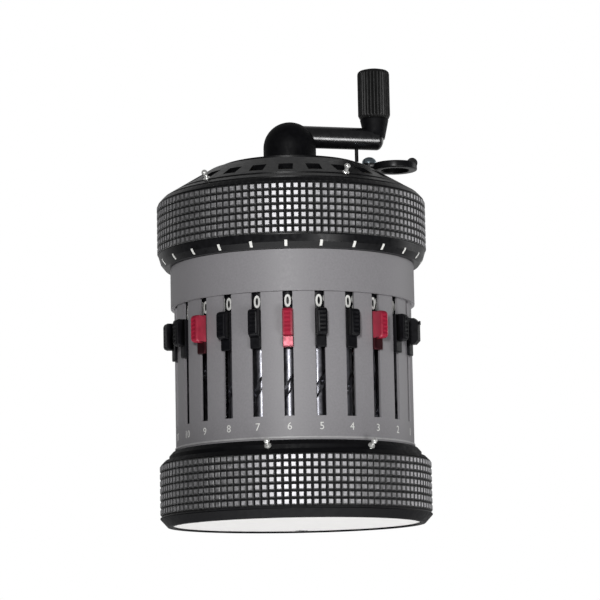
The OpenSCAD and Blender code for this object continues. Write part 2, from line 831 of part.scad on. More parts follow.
module counter_units_dial() {
    color("#e8e8e4") dial(counter_a(0));
}

// Clearing lever

module clearing_plate() {
    color("#19191b") difference() {
        union() {
            rod(clearing_d / 2, clearing_z, clearing_t);
            rod(guide_r, lid_top - lid_t, lid_t + clearing_t);
            around(lever_angle) {
                block(lever_w, guide_r, lever_pivot_r, clearing_z, clearing_t);
                out_at(lever_pivot_r, clearing_z) cylinder(d = lever_w, h = clearing_t);
            }
        }
        rod(hub_r + clear, lid_top - lid_t - cut, lid_t + clearing_t + 2 * cut);
        around(lever_angle) out_at(lever_pivot_r, clearing_z - cut)
            cylinder(d = lever_pivot_d + 2 * seat, h = clearing_t + 2 * cut);
    }
}

module clearing_lever() {
    color("#19191b") around(lever_angle) out_at(lever_pivot_r, 0) difference() {
        union() {
            rod(lever_w / 2, lever_root_z, lever_root_t);
            block(lever_w, 0, lever_arm - lever_hole_d / 2 - cut / 2, lever_root_z, lever_root_t);
            out_at(lever_arm, lever_z) cylinder(d = lever_ring_d, h = lever_t);
            out_at(lever_lip_y, lever_lip_z) rotate([0, 90, 0])
                cylinder(d = lever_lip_d, h = lever_lip_l, center = true);
        }
        rod(lever_pivot_d / 2 + run, lever_root_z - cut, lever_root_t + 2 * cut);
        rod(lever_w / 2 + clear, lever_z - cut, lever_root_z - lever_z + cut);
        out_at(lever_arm, lever_z - cut) cylinder(d = lever_hole_d, h = lever_t + 2 * cut);
        out_at(lever_lip_y, lever_lip_z) rotate([0, 90, 0])
            cylinder(d = lever_lip_d - 2 * lever_lip_wall, h = lever_lip_l + 2 * cut, center = true);
    }
}

module lever_pivot() {
    color("#c8d0d8") around(lever_angle) out_at(lever_pivot_r, 0) {
        rod(lever_pivot_d / 2, clearing_z + seat, lever_top + seat - clearing_z);
        translate([0, 0, lever_top + seat])
            cylinder(r1 = pivot_head_r, r2 = pivot_head_r - pivot_head_chamfer, h = pivot_head_t);
    }
}

// Small levers

// Ring groove that guides the decimal markers of a sloped surface
module marker_groove(r, z) {
    tube(r + marker_groove_w / 2, r - marker_groove_w / 2, z - marker_groove_depth, ring_r);
}

// Marker whose foot runs in the groove of a surface with the given tilt
module decimal_marker(a, r, z, tilt) {
    foot_d = marker_groove_w - clear;
    color("#f2f2ee") around(a) out_at(r, z) union() {
        rotate([tilt, 0, 0]) {
            translate([-marker_cap_l / 2, -marker_cap_w / 2, slider_gap])
                cube([marker_cap_l, marker_cap_w, marker_cap_t]);
            rod(marker_stem_d / 2, slider_gap, marker_cap_t + marker_stem_h);
            translate([0, 0, slider_gap + marker_cap_t + marker_stem_h])
                cylinder(d = marker_bead_d, h = marker_bead_h);
        }
        rod(foot_d / 2, slider_gap - marker_groove_depth, marker_groove_depth + slider_gap);
    }
}

module base_decimal_marker_left() {
    decimal_marker(base_marker_left, base_marker_r, base_marker_z, shoulder_tilt);
}

module base_decimal_marker_right() {
    decimal_marker(base_marker_right, base_marker_r, base_marker_z, shoulder_tilt);
}

module lid_decimal_marker_left() {
    decimal_marker(lid_marker_left, lid_marker_r, lid_marker_z, lid_tilt);
}

module lid_decimal_marker_right() {
    decimal_marker(lid_marker_right, lid_marker_r, lid_marker_z, lid_tilt);
}

module reversing_lever() {
    knob_in = sleeve_r + slider_gap;
    block_out = sleeve_in - clear;
    color("#19191b") around(REVERSER_ANGLE) union() {
        block(reverser_w, knob_in, knob_in + reverser_plate_t, reverser_z, reverser_h);
        block(reverser_neck_w, block_out - cut, sleeve_r + reverser_out,
              reverser_z + reverser_step, reverser_h - 2 * reverser_step);
        block(reverser_w, block_out - reverser_block_t, block_out, reverser_z, reverser_h);
    }
}

// Setting columns

module setting_slider(k) {
    knob_r_in = sleeve_r + slider_gap;
    knob_r_out = sleeve_r + slider_knob_out;
    c = knob_chamfer;
    color(is_red(k) ? "#b01028" : "#17171a") around(column_a(k)) {
        difference() {
            union() {
                rotate([90, 0, -90]) linear_extrude(slider_knob_w, center = true) polygon([
                    [knob_r_in, slider_knob_z], [knob_r_out - c, slider_knob_z],
                    [knob_r_out, slider_knob_z + c], [knob_r_out, slider_top - c],
                    [knob_r_out - c, slider_top], [knob_r_in, slider_top]
                ]);
                block(slider_foot_w, knob_r_in, knob_r_in + slider_foot_t,
                      slider_knob_z - slider_foot_h, slider_knob_h + slider_foot_h);
                block(slider_neck_w, setting_r, knob_r_in + slider_foot_t / 2, slider_knob_z, slider_knob_h);
                out_at(setting_r, carrier_z) cylinder(r = carrier_r, h = carrier_h);
                block(fork_w, transmission_r, setting_r, carrier_z, eye_t);
                out_at(transmission_r, carrier_z) cylinder(r = eye_r, h = eye_t);
            }
            out_at(setting_r, carrier_z - cut) cylinder(r = shaft_r + run, h = carrier_h + 2 * cut);
            out_at(transmission_r, carrier_z - cut)
                cylinder(d = transmission_d + 2 * slider_gap, h = eye_t + 2 * cut);
        }
        out_at(setting_r, follower_z) around(FOLLOWER_ANGLE) out_at(shaft_r + run + follower_root, 0)
            rotate([-90, 0, 0]) cylinder(d = follower_d, h = groove_depth);
        out_at(transmission_r, pinion_z) linear_extrude(pinion_t) difference() {
            polygon(pinion_points(pinion_r, PINION_TEETH));
            circle(d = transmission_d + 2 * slider_gap);
        }
    }
}

// Spiral cut that faces the follower pin at the height of the pin
module spiral_groove() {
    inner = shaft_r - groove_depth;
    outer = shaft_r + cut;
    half = groove_w / 2;
    rings = [for (i = [0 : GROOVE_STEPS]) groove_z + groove_h * i / GROOVE_STEPS];
    corners = [[-half, inner], [half, inner], [half, outer], [-half, outer]];
    points = [for (z = rings, c = corners)
        let (a = FOLLOWER_ANGLE + (z - follower_z) * 360 / groove_lead)
            [c[0] * cos(a) + c[1] * sin(a), c[0] * sin(a) - c[1] * cos(a), z]];
    last = 4 * GROOVE_STEPS;
    polyhedron(points, concat(
        [[0, 2, 1], [0, 3, 2], [last, last + 1, last + 2], [last, last + 2, last + 3]],
        [for (i = [0 : GROOVE_STEPS - 1], j = [0 : 3])
            let (p = 4 * i + j, q = 4 * i + (j + 1) % 4) each [[p, q + 4, p + 4], [p, q, q + 4]]]
    ));
}

module setting_shaft(k) {
    shaft_z = lower_plate_top + seat;
    roll_top = roll_z + number_roll_h;
    color("#d0d0d4") around(column_a(k)) out_at(setting_r, 0) union() {
        difference() {
            rod(shaft_r, shaft_z, roll_z + roll_overlap - shaft_z);
            spiral_groove();
        }
        rod(roll_r, roll_z, number_roll_h);
        rod(shaft_r, roll_top - roll_overlap, upper_plate_z - seat - roll_top + roll_overlap);
        rod(journal_r, lower_plate_top - socket_depth + seat, socket_depth);
        rod(journal_r, upper_plate_z - 2 * seat, socket_depth - seat);
    }
}

base_ring();
bottom_plate();
casing_screws();
lower_bearing_plate();
slotted_sleeve();
upper_collar();
upper_bearing_plate();
frame_pillars();
pillar_screws();
transmission_shafts();
upper_bush();
lift_bush();
main_shaft();
shaft_clip();
step_drum();
carry_bell();
crank_arm();
crank_home_pin();
knob_spindle();
crank_knob();
carriage_lifter();
index_band();
dial_plate();
carriage_ring();
carriage_lid();
dial_ring();
dial_axles();
result_dials();
counter_dials();
counter_units_dial();
clearing_plate();
clearing_lever();
lever_pivot();
base_decimal_marker_left();
base_decimal_marker_right();
lid_decimal_marker_left();
lid_decimal_marker_right();
reversing_lever();
for (k = [1 : COLUMNS]) {
    setting_slider(k);
    setting_shaft(k);
}
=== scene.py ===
"""Looks of a cylindrical hand-cranked pocket calculator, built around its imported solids.

Lengths are millimetres until a mesh is made. Angles around the machine are counted in degrees
from -Y towards +X.
"""

import math

import bpy
from mathutils import Matrix, Vector


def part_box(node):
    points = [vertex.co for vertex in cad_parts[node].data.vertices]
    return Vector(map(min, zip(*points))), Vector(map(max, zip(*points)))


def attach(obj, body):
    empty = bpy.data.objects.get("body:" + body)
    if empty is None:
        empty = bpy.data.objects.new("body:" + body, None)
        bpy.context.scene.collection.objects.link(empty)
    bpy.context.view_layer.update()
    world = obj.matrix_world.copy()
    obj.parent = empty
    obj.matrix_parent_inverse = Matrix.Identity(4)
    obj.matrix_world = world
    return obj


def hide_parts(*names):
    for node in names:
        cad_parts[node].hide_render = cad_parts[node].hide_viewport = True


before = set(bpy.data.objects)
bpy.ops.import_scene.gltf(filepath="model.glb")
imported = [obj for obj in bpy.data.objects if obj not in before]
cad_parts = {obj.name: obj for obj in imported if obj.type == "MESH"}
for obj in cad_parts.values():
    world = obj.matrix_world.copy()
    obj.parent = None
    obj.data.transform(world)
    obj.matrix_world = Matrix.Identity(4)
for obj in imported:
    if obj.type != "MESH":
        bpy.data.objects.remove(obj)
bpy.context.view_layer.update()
SCENE = bpy.context.scene
MM = 0.001


def low(node):
    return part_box(node)[0] / MM


def high(node):
    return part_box(node)[1] / MM


def polar(point):
    """Radius and angle of a place around the machine."""
    return math.hypot(point.x, point.y), math.degrees(math.atan2(point.x, -point.y))


def middle(node):
    return (low(node) + high(node)) / 2


# Measures of the solids
RING_R = high("base_ring").x
BASE_TOP = high("base_ring").z
SLEEVE_R = high("slotted_sleeve").x
COLLAR_Z = low("upper_collar").z
BAND_Z = low("index_band").z
CARRIAGE_Z, LIP_TOP = low("carriage_ring").z, high("carriage_ring").z
CARRIAGE_IN = high("dial_plate").x
PLATE_R, PLATE_TOP = high("bottom_plate").x, high("bottom_plate").z
FRAME_Z = low("lower_bearing_plate").z
LID_EDGE_R, LID_TOP = high("carriage_lid").x, high("carriage_lid").z
ARM_Z = high("main_shaft").z
CRANK_R, CRANK_ANGLE = polar(middle("knob_spindle"))
KNOB_Z, KNOB_TOP = low("crank_knob").z, high("crank_knob").z
KNOB_R = (high("crank_knob").x - low("crank_knob").x) / 2
PIVOT_R, PIVOT_ANGLE = polar(middle("lever_pivot"))
PIVOT_TOP = high("lever_pivot").z
CLEARING_TOP = high("clearing_plate").z

# Columns, dials and their numbers, and the gap between seated pieces
COLUMNS = 11
COLUMN_ANGLE = 15
RED_COLUMNS = (3, 6, 9)
RESULT_DIALS = 15
COUNTER_DIALS = 8
DIGITS = 10
SEAT = 0.05

# Grip rings; a knurl step is a share of the pitch and the share of the depth that it rises to
ROWS = 7
ROW_PITCH = 1.715
KNURL_DEPTH = 0.5
KNURL_COLUMNS = 120
KNURL_SHARP = 24
KNURL_STEPS = ((0.0, 0.0), (0.08, 0.68), (0.23, 1.0), (0.77, 1.0), (0.92, 0.68))
TIP_DEPTH = 0.03
TIP_R = RING_R - TIP_DEPTH
FOOT_H = 2.62
FOOT_CHAMFER = 1.6
FOOT_CHAMFER_H = 1.9
EDGE = 0.3
SHOULDER_TOP_W = 0.6
WEB_W = 2.0
LIP_H = 1.3
LIP_CHAMFER = 1.1
GROOVE_W = 1.0
GROOVE_DEPTH = 0.7

# Crank
HUB_R = 6.4
HUB_RISE = 0.7
HUB_CROWN_R = 0.2
ARM_R = 2.7
ARM_START = 0.5
ARM_END = 2.1
ARM_ROUNDING = 1.6
ARM_CROWN_R = 0.3
NECK_R = 3.5
NECK_TAPER = 1.0
SHAFT_COLLAR_W = 1.5
SHAFT_R = high("main_shaft").x - SHAFT_COLLAR_W
SPINDLE_R = 1.4

# Clearing lever
LEVER_ARM = 6.25
LEVER_T = 1.7
LEVER_ROOT_T = 0.95
LEVER_W = 3.2
LEVER_RING_R = 5.4
LEVER_HOLE_R = 3.4
LEVER_ROUNDING = 0.3
LUG_ROOM = 0.3
LUG_REACH = 0.5
LUG_SOFT = 0.12
ROOT_DROP = 0.02
ROLLED_LIP_R = 1.3
ROLLED_LIP_WALL = 0.8
ROLLED_LIP_DROP = 0.15
ROLLED_LIP_L = 4.0
ROLLED_LIP_EDGE = 0.2
PIN_HOLE_R = 0.86
PIVOT_SHANK_R = 0.8
PIVOT_RIM = 0.3
PIVOT_CROWN_R = 0.15

# Sliders, number rolls and dials
SLIDER_W = 2.2
SLIDER_H = 6.2
SLIDER_OUT = -low("setting_slider_06").y - SLEEVE_R
SLIDER_TOP = high("setting_slider_06").z
SLIDER_LOW = SLIDER_TOP - SLIDER_H
SLIDER_FOOT_W = 2.4
SLIDER_FOOT_H = 2.6
SLIDER_FOOT_T = 0.7
SLIDER_GAP = 0.15
GRIP_COVER = 0.09
ROLL_R = 2.7
ROLL_H = 4.6
SETTING_R = polar(middle("setting_shaft_06"))[0]
DIAL_R = 2.5
DIAL_DROP = 4.0
WINDOW_R = 25.45

# Lid, shoulder of the base and decimal markers
LID_EDGE_H = 0.4
LID_TOP_R = 20.0
LID_SLOPE = (LID_TOP - LIP_TOP - LID_EDGE_H) / (LID_EDGE_R - LID_TOP_R)
LID_TILT = math.atan(LID_SLOPE)
SHOULDER_TOP_R = SLEEVE_R + SEAT + SHOULDER_TOP_W
SHOULDER_Z = FOOT_H + ROWS * ROW_PITCH
SHOULDER_SLOPE = (BASE_TOP - SHOULDER_Z) / (RING_R - EDGE - SHOULDER_TOP_R)
BASE_MARKER_R = (RING_R - EDGE + SHOULDER_TOP_R) / 2
LID_MARKER_R = 28.99
MARKERS = {
    "base_decimal_marker_left": "base_marker_left",
    "base_decimal_marker_right": "base_marker_right",
    "lid_decimal_marker_left": "lid_marker_left",
    "lid_decimal_marker_right": "lid_marker_right",
}


# Mesh helpers

SHARP = 40
CUT_OVER = 1
CORNER_SHARE = 0.45
SOFT_STEPS = (1.0, 0.3, 0.0)


def place(angle, r=0.0, z=0.0):
    """Matrix of a spot around the machine: X runs along the circle, Y inwards, Z up."""
    return Matrix.Rotation(math.radians(angle), 4, "Z") @ Matrix.Translation((0, -r, z))


def mesh_object(name, points, faces, sharp=SHARP):
    """New object from points in millimetres, smooth up to the sharp angle."""
    mesh = bpy.data.meshes.new(name)
    mesh.from_pydata([Vector(p) * MM for p in points], [], faces)
    mesh.validate()
    finish_mesh(mesh, sharp)
    obj = bpy.data.objects.new(name, mesh)
    SCENE.collection.objects.link(obj)
    return obj


def finish_mesh(mesh, sharp):
    mesh.polygons.foreach_set("use_smooth", [True] * len(mesh.polygons))
    mesh.set_sharp_from_angle(angle=math.radians(sharp))
    mesh.update()


def lathe_grid(profile, angles, radius):
    """Points and faces of a closed profile turned around Z, with its radii from radius(row, step)."""
    rows, steps = len(profile), len(angles)
    points = []
    for i, entry in enumerate(profile):
        for j, a in enumerate(angles):
            r = radius(i, j)
            points.append((r * math.sin(a), -r * math.cos(a), entry[1]))
    faces = []
    for i in range(rows):
        k = (i + 1) % rows
        for j in range(steps):
            n = (j + 1) % steps
            faces.append((i * steps + j, i * steps + n, k * steps + n, k * steps + j))
    return points, faces


def lathe(name, profile, steps):
    """Ring turned around Z from a closed (radius, height) profile that runs upwards on its outside."""
    angles = [2 * math.pi * j / steps for j in range(steps)]
    points, faces = lathe_grid(profile, angles, lambda i, j: profile[i][0])
    return mesh_object(name, points, faces)


def rounded(points, radius, steps=4):
    """Closed outline with round corners, of one radius or of a radius for each corner."""
    radii = radius if isinstance(radius, (list, tuple)) else [radius] * len(points)
    out = []
    for i, p in enumerate(points):
        p = Vector(p)
        a = Vector(points[i - 1]) - p
        b = Vector(points[(i + 1) % len(points)]) - p
        half = a.angle(b) / 2
        if radii[i] <= 0:
            out.append(tuple(p))
            continue
        reach = min(radii[i] / math.tan(half), CORNER_SHARE * min(a.length, b.length))
        start, end = p + a.normalized() * reach, p + b.normalized() * reach
        for k in range(steps + 1):
            t = k / steps
            out.append(tuple((1 - t) ** 2 * start + 2 * t * (1 - t) * p + t ** 2 * end))
    return out


def loft(name, loops, sharp=SHARP):
    """Closed solid through loops of equally many points, capped at both ends."""
    count = len(loops[0])
    points = [p for loop in loops for p in loop]
    faces = [tuple(reversed(range(count)))]
    for i in range(len(loops) - 1):
        for j in range(count):
            k = (j + 1) % count
            a, b = i * count, (i + 1) * count
            faces.append((a + j, a + k, b + k, b + j))
    last = (len(loops) - 1) * count
    faces.append(tuple(range(last, last + count)))
    return mesh_object(name, points, faces, sharp)


def cushion(name, outline, width, soft, matrix, sharp=SHARP):
    """Plate of the given width from a (y, z) outline, with soft edges on both sides."""
    ys, zs = [p[0] for p in outline], [p[1] for p in outline]
    cy, cz = (max(ys) + min(ys)) / 2, (max(zs) + min(zs)) / 2
    hy, hz = (max(ys) - min(ys)) / 2, (max(zs) - min(zs)) / 2
    sides = [(-1, inset) for inset in SOFT_STEPS] + [(1, inset) for inset in reversed(SOFT_STEPS)]
    loops = []
    for side, inset in sides:
        x = side * (width / 2 - soft * (1 - math.sqrt(1 - (1 - inset) ** 2)))
        by, bz = 1 - soft * inset / hy, 1 - soft * inset / hz
        loops.append([matrix @ Vector((x, cy + (y - cy) * by, cz + (z - cz) * bz)) for y, z in outline])
    return loft(name, loops, sharp)


def combine(base, tool, operation):
    """Joins a tool object to a base object, or cuts it out, and removes the tool."""
    modifier = base.modifiers.new("combine", "BOOLEAN")
    modifier.object = tool
    modifier.operation = operation
    modifier.solver = "EXACT"
    graph = bpy.context.evaluated_depsgraph_get()
    mesh = bpy.data.meshes.new_from_object(base.evaluated_get(graph))
    base.modifiers.remove(modifier)
    base.data = mesh
    bpy.data.objects.remove(tool)
    finish_mesh(mesh, SHARP)
    return base


def move(obj, matrix):
    obj.data.transform(Matrix.Scale(MM, 4) @ matrix @ Matrix.Scale(1 / MM, 4))
    obj.data.update()
    return obj


def lathe_solid(name, profile, steps):
    """Solid turned around Z from an open profile that runs upwards, closed by flat ends."""
    angles = [2 * math.pi * j / steps for j in range(steps)]
    return loft(name, [[(r * math.sin(a), -r * math.cos(a), z) for a in angles] for r, z in profile])


def rod(name, r, z, top, steps=48):
    return lathe_solid(name, [(r, z), (r, top)], steps)


def dome(r, z, rise, steps):
    """Profile of a dome upwards from its rim at height z, without its crown."""
    turns = [math.pi / 2 * i / steps for i in range(steps)]
    return [(r * math.cos(t), z + rise * math.sin(t)) for t in turns]


GLYPHS = {}
GLYPH_CURVE_STEPS = 3
PRINT_LIFT = 0.03


def glyph(char, weight):
    """Flat points and faces of a digit, one unit high and centred, with strokes thickened by the weight."""
    if (char, weight) not in GLYPHS:
        curve = bpy.data.curves.new("glyph", "FONT")
        curve.body = char
        curve.resolution_u = GLYPH_CURVE_STEPS
        curve.extrude = 1.0
        curve.offset = weight
        obj = bpy.data.objects.new("glyph", curve)
        SCENE.collection.objects.link(obj)
        graph = bpy.context.evaluated_depsgraph_get()
        mesh = bpy.data.meshes.new_from_object(obj.evaluated_get(graph))
        points = [v.co.copy() for v in mesh.vertices]
        faces = [tuple(p.vertices) for p in mesh.polygons]
        bpy.data.objects.remove(obj)
        bpy.data.curves.remove(curve)
        bpy.data.meshes.remove(mesh)
        lo = Vector(map(min, *points))
        hi = Vector(map(max, *points))
        size = hi.y - lo.y
        centre = (lo + hi) / 2
        flat = [((p.x - centre.x) / size, (p.y - centre.y) / size, p.z) for p in points]
        GLYPHS[char, weight] = flat, faces
    return GLYPHS[char, weight]


def lettering(name, items, depth=PRINT_LIFT, weight=0.0):
    """One mesh of many digits; an item is a digit, its height and a function from (x, y, lift) to a place."""
    points, faces = [], []
    for char, height, spot in items:
        start = len(points)
        shape, polygons = glyph(char, weight)
        points += [spot(x * height, y * height, depth * z) for x, y, z in shape]
        faces += [tuple(start + i for i in f) for f in polygons]
    return mesh_object(name, points, faces)


def on_cylinder(r, angle, z, centre=Matrix.Identity(4), width=1.0):
    """Spot on an upright cylinder that faces outwards at the given angle; width narrows a digit."""
    def spot(x, y, lift):
        a = math.radians(angle) + width * x / r
        return centre @ Vector(((r + lift) * math.sin(a), -(r + lift) * math.cos(a), z + y))
    return spot


# Materials

NOISE_RANGE = (0.3, 0.7)
GLOSS_RANGE = (0.85, 1.2)
PATCH_DETAIL = 3.0
GRAIN_DETAIL = 2.0


def node_material(name):
    material = bpy.data.materials.new(name)
    material.use_nodes = True
    return material, material.node_tree, material.node_tree.nodes["Principled BSDF"]


def noise(tree, scale, detail, stretch=(1, 1, 1)):
    """Noise over the object's own coordinates, with features about 1000 / scale millimetres wide."""
    coordinates = tree.nodes.new("ShaderNodeTexCoord")
    mapping = tree.nodes.new("ShaderNodeMapping")
    mapping.inputs["Scale"].default_value = stretch
    texture = tree.nodes.new("ShaderNodeTexNoise")
    texture.inputs["Scale"].default_value = scale
    texture.inputs["Detail"].default_value = detail
    tree.links.new(coordinates.outputs["Object"], mapping.inputs["Vector"])
    tree.links.new(mapping.outputs["Vector"], texture.inputs["Vector"])
    return texture.outputs["Fac"]


def ramp(tree, source, stops):
    """Colour ramp over a value: stops are (position, colour)."""
    node = tree.nodes.new("ShaderNodeValToRGB")
    elements = node.color_ramp.elements
    while len(elements) < len(stops):
        elements.new(0.5)
    for element, (position, colour) in zip(elements, stops):
        element.position = position
        element.color = (*colour, 1)
    tree.links.new(source, node.inputs["Fac"])
    return node.outputs["Color"]


def spread(tree, source, lowest, highest):
    """Values between two bounds from the middle range of a noise."""
    node = tree.nodes.new("ShaderNodeMapRange")
    node.inputs["From Min"].default_value = NOISE_RANGE[0]
    node.inputs["From Max"].default_value = NOISE_RANGE[1]
    node.inputs["To Min"].default_value = lowest
    node.inputs["To Max"].default_value = highest
    tree.links.new(source, node.inputs["Value"])
    return node.outputs["Result"]


def bump(tree, shader, source, strength, height):
    node = tree.nodes.new("ShaderNodeBump")
    node.inputs["Strength"].default_value = strength
    node.inputs["Distance"].default_value = height * MM
    tree.links.new(source, node.inputs["Height"])
    tree.links.new(node.outputs["Normal"], shader.inputs["Normal"])


def tinted(colour, factor):
    return tuple(min(1.0, c * factor) for c in colour)


def surface(name, colour, roughness, metallic=0.0, mottle=0.12, mottle_scale=900, grain=0.15,
            grain_scale=5000, grain_h=0.02, stretch=(1, 1, 1), specular=0.5, ior=1.5):
    """Finish with mottled colour, uneven gloss and a fine grain."""
    material, tree, shader = node_material(name)
    patches = noise(tree, mottle_scale, PATCH_DETAIL)
    fine = noise(tree, grain_scale, GRAIN_DETAIL, stretch)
    shades = [tinted(colour, factor) for factor in (1 - mottle, 1 + mottle)]
    gloss = [roughness * factor for factor in GLOSS_RANGE]
    tree.links.new(ramp(tree, patches, list(zip(NOISE_RANGE, shades))), shader.inputs["Base Color"])
    tree.links.new(spread(tree, patches, *gloss), shader.inputs["Roughness"])
    shader.inputs["Metallic"].default_value = metallic
    shader.inputs["Specular IOR Level"].default_value = specular
    shader.inputs["IOR"].default_value = ior
    bump(tree, shader, fine, grain, grain_h)
    return material


BLACK = surface("black_enamel", (0.007, 0.007, 0.008), 0.32, mottle=0.3, grain=0.12,
                grain_scale=3000, specular=0.2)
GLOSS = surface("gloss_black", (0.006, 0.006, 0.007), 0.25, mottle=0.3, grain=0.05,
                grain_scale=3000, specular=1.0, ior=1.58)
MATTE = surface("matte_black", (0.004, 0.004, 0.005), 0.55, mottle=0.3, grain=0.2,
                grain_scale=3000, specular=0.12)
KNURL = surface("knurled_black", (0.019, 0.019, 0.02), 0.45, mottle=0.35, grain=0.2,
                grain_scale=4000, specular=0.9)
TIPS = surface("worn_tips", (0.53, 0.525, 0.54), 0.53, 1.0, mottle=0.25, mottle_scale=1500, grain=0.2)
GREY = surface("grey_enamel", (0.27, 0.262, 0.275), 0.5, mottle=0.06, mottle_scale=2200, grain=0.35,
               grain_scale=5200, grain_h=0.03)
# Lighter grey than the sleeve: a painted highlight line on the bead at the sleeve's foot
GREY_EDGE_HIGHLIGHT = surface("grey_edge_painted_highlight", (0.42, 0.415, 0.42), 0.4, mottle=0.08, grain=0.2)
WHITE = surface("white_enamel", (0.82, 0.81, 0.8), 0.4, mottle=0.04, grain=0.15)
PRINT = surface("white_print", (0.8, 0.8, 0.77), 0.5, mottle=0.08, grain=0.1)
DARK_PRINT = surface("dark_print", (0.02, 0.02, 0.022), 0.5, mottle=0.2, grain=0.1)
BRASS = surface("machined_brass", (0.55, 0.4, 0.16), 0.32, 1.0, mottle=0.15, grain=0.2, stretch=(1, 1, 12))
STEEL = surface("ground_steel", (0.5, 0.5, 0.52), 0.26, 1.0, mottle=0.1, grain=0.2, stretch=(1, 1, 12))
CHROME = surface("polished_steel", (0.19, 0.19, 0.21), 0.36, 1.0, mottle=0.1, grain=0.06, stretch=(1, 1, 6))
LIGHT_METAL = surface("turned_light_metal", (0.58, 0.58, 0.6), 0.34, 1.0, mottle=0.08, grain=0.2,
                      stretch=(1, 1, 14))
RUBBER = surface("ribbed_black", (0.011, 0.011, 0.011), 0.4, mottle=0.3, grain=0.25,
                 grain_scale=4200, specular=0.3)
SLIDER_BLACK = surface("slider_black", (0.005, 0.005, 0.0065), 0.4, mottle=0.25, grain=0.1, specular=0.14)
SLIDER_RED = surface("slider_red", (0.12, 0.036, 0.044), 0.36, 1.0, mottle=0.1, grain=0.1)
GLOSS_RED = surface("gloss_red", (0.36, 0.012, 0.04), 0.4, mottle=0.12, grain=0.1, specular=1.0)
RIDGE_RED = surface("ridge_red", (0.36, 0.012, 0.04), 0.6, mottle=0.12, grain=0.1, specular=0.25)
NICKEL = surface("bright_nickel", (0.82, 0.82, 0.8), 0.2, 0.6, mottle=0.06, grain=0.08)
BLUED = surface("blued_steel", (0.36, 0.43, 0.48), 0.22, 0.9, mottle=0.1, grain=0.08)


def paint(obj, material):
    obj.data.materials.clear()
    obj.data.materials.append(material)


def even_shading(obj):
    """Leaves the rounding to the narrow faces at the edges, so that large faces look flat."""
    modifier = obj.modifiers.new("even_shading", "WEIGHTED_NORMAL")
    modifier.keep_sharp = True
    graph = bpy.context.evaluated_depsgraph_get()
    mesh = bpy.data.meshes.new_from_object(obj.evaluated_get(graph))
    obj.modifiers.remove(modifier)
    obj.data = mesh


def piece(obj, material, body, slot, *nodes):
    """Gives a new piece its finish, the body that it rides on and the nodes that it stands for."""
    even_shading(obj)
    paint(obj, material)
    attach(obj, body)
    if nodes:
        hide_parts(*nodes)
    return obj


def trim(obj, material, test):
    """Another finish on the faces of a piece whose middle passes a test."""
    obj.data.materials.append(material)
    for polygon in obj.data.polygons:
        if test(polygon.center / MM):
            polygon.material_index = len(obj.data.materials) - 1


NODE_FINISH = {
    BLACK: ("index_band", "carriage_lid", "clearing_plate", "reversing_lever"),
    GREY: ("slotted_sleeve", "upper_collar"),
    WHITE: ("bottom_plate", "counter_dials", "counter_units_dial"),
    SLIDER_BLACK: ("result_dials", "crank_home_pin"),
    BRASS: ("lower_bearing_plate", "upper_bearing_plate", "dial_plate", "dial_ring", "upper_bush",
            "lift_bush"),
    STEEL: ("casing_screws", "frame_pillars", "pillar_screws", "transmission_shafts", "main_shaft",
            "shaft_clip", "knob_spindle", "carriage_lifter", "dial_axles"),
    LIGHT_METAL: ("step_drum", "carry_bell"),
    CHROME: tuple(f"setting_shaft_{k:02d}" for k in range(1, COLUMNS + 1)),
}
for finish, nodes in NODE_FINISH.items():
    for node in nodes:
        paint(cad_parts[node], finish)


# Grip rings

def knurl_profile(z):
    """Rows of a knurl upwards from height z, as (radius, height, lift)."""
    rows = []
    for i in range(ROWS):
        rows += [(RING_R, z + (i + share) * ROW_PITCH, lift) for share, lift in KNURL_STEPS]
    return rows + [(RING_R, z + ROWS * ROW_PITCH, 0.0)]


def grip_ring(name, below, z, above):
    """Ring with pyramid knurl between the plain parts of its closed profile."""
    profile = [(r, h, None) for r, h in below] + knurl_profile(z) + [(r, h, None) for r, h in above]
    cell = 2 * math.pi / KNURL_COLUMNS
    angles = [(c + share) * cell for c in range(KNURL_COLUMNS) for share, _ in KNURL_STEPS]
    lifts = [lift for _ in range(KNURL_COLUMNS) for _, lift in KNURL_STEPS]

    def radius(i, j):
        r, _, lift = profile[i]
        return r if lift is None else r - KNURL_DEPTH * (1 - lift * lifts[j])

    points, faces = lathe_grid(profile, angles, radius)
    return mesh_object(name, points, faces, KNURL_SHARP)


def groove(r, z, slope):
    """Profile of the ring groove that guides the decimal markers, from its outer to its inner edge."""
    half = GROOVE_W / 2
    return [(r + half, z - half * slope), (r + half, z - GROOVE_DEPTH),
            (r - half, z - GROOVE_DEPTH), (r - half, z + half * slope)]


def base_grip():
    foot_r = RING_R - FOOT_CHAMFER
    marker_z = BASE_TOP - SHOULDER_SLOPE * (BASE_MARKER_R - SHOULDER_TOP_R)
    below = [(PLATE_R + SEAT, 0), (foot_r - EDGE / 2, 0), (foot_r, EDGE / 2),
             (RING_R - EDGE / 2, FOOT_CHAMFER_H - EDGE / 2), (RING_R, FOOT_CHAMFER_H),
             (RING_R, FOOT_H - KNURL_DEPTH)]
    above = [(RING_R - EDGE, SHOULDER_Z + EDGE / 4), *groove(BASE_MARKER_R, marker_z, SHOULDER_SLOPE),
             (SHOULDER_TOP_R + EDGE / 2, BASE_TOP - EDGE / 2), (SHOULDER_TOP_R - EDGE / 2, BASE_TOP),
             (SLEEVE_R + SEAT, BASE_TOP), (SLEEVE_R + SEAT, FRAME_Z), (SLEEVE_R - WEB_W, FRAME_Z),
             (SLEEVE_R - WEB_W, PLATE_TOP), (PLATE_R + SEAT, PLATE_TOP)]
    return grip_ring("base_grip", below, FOOT_H, above)


def carriage_grip():
    lip_z = LIP_TOP - LIP_H
    inner = CARRIAGE_IN + SEAT
    below = [(inner, CARRIAGE_Z), (RING_R - KNURL_DEPTH, CARRIAGE_Z)]
    above = [(RING_R - EDGE, lip_z + EDGE), (RING_R - LIP_CHAMFER, LIP_TOP - EDGE / 3),
             (RING_R - LIP_CHAMFER - EDGE / 2, LIP_TOP), (inner, LIP_TOP)]
    return grip_ring("carriage_grip", below, lip_z - ROWS * ROW_PITCH, above)


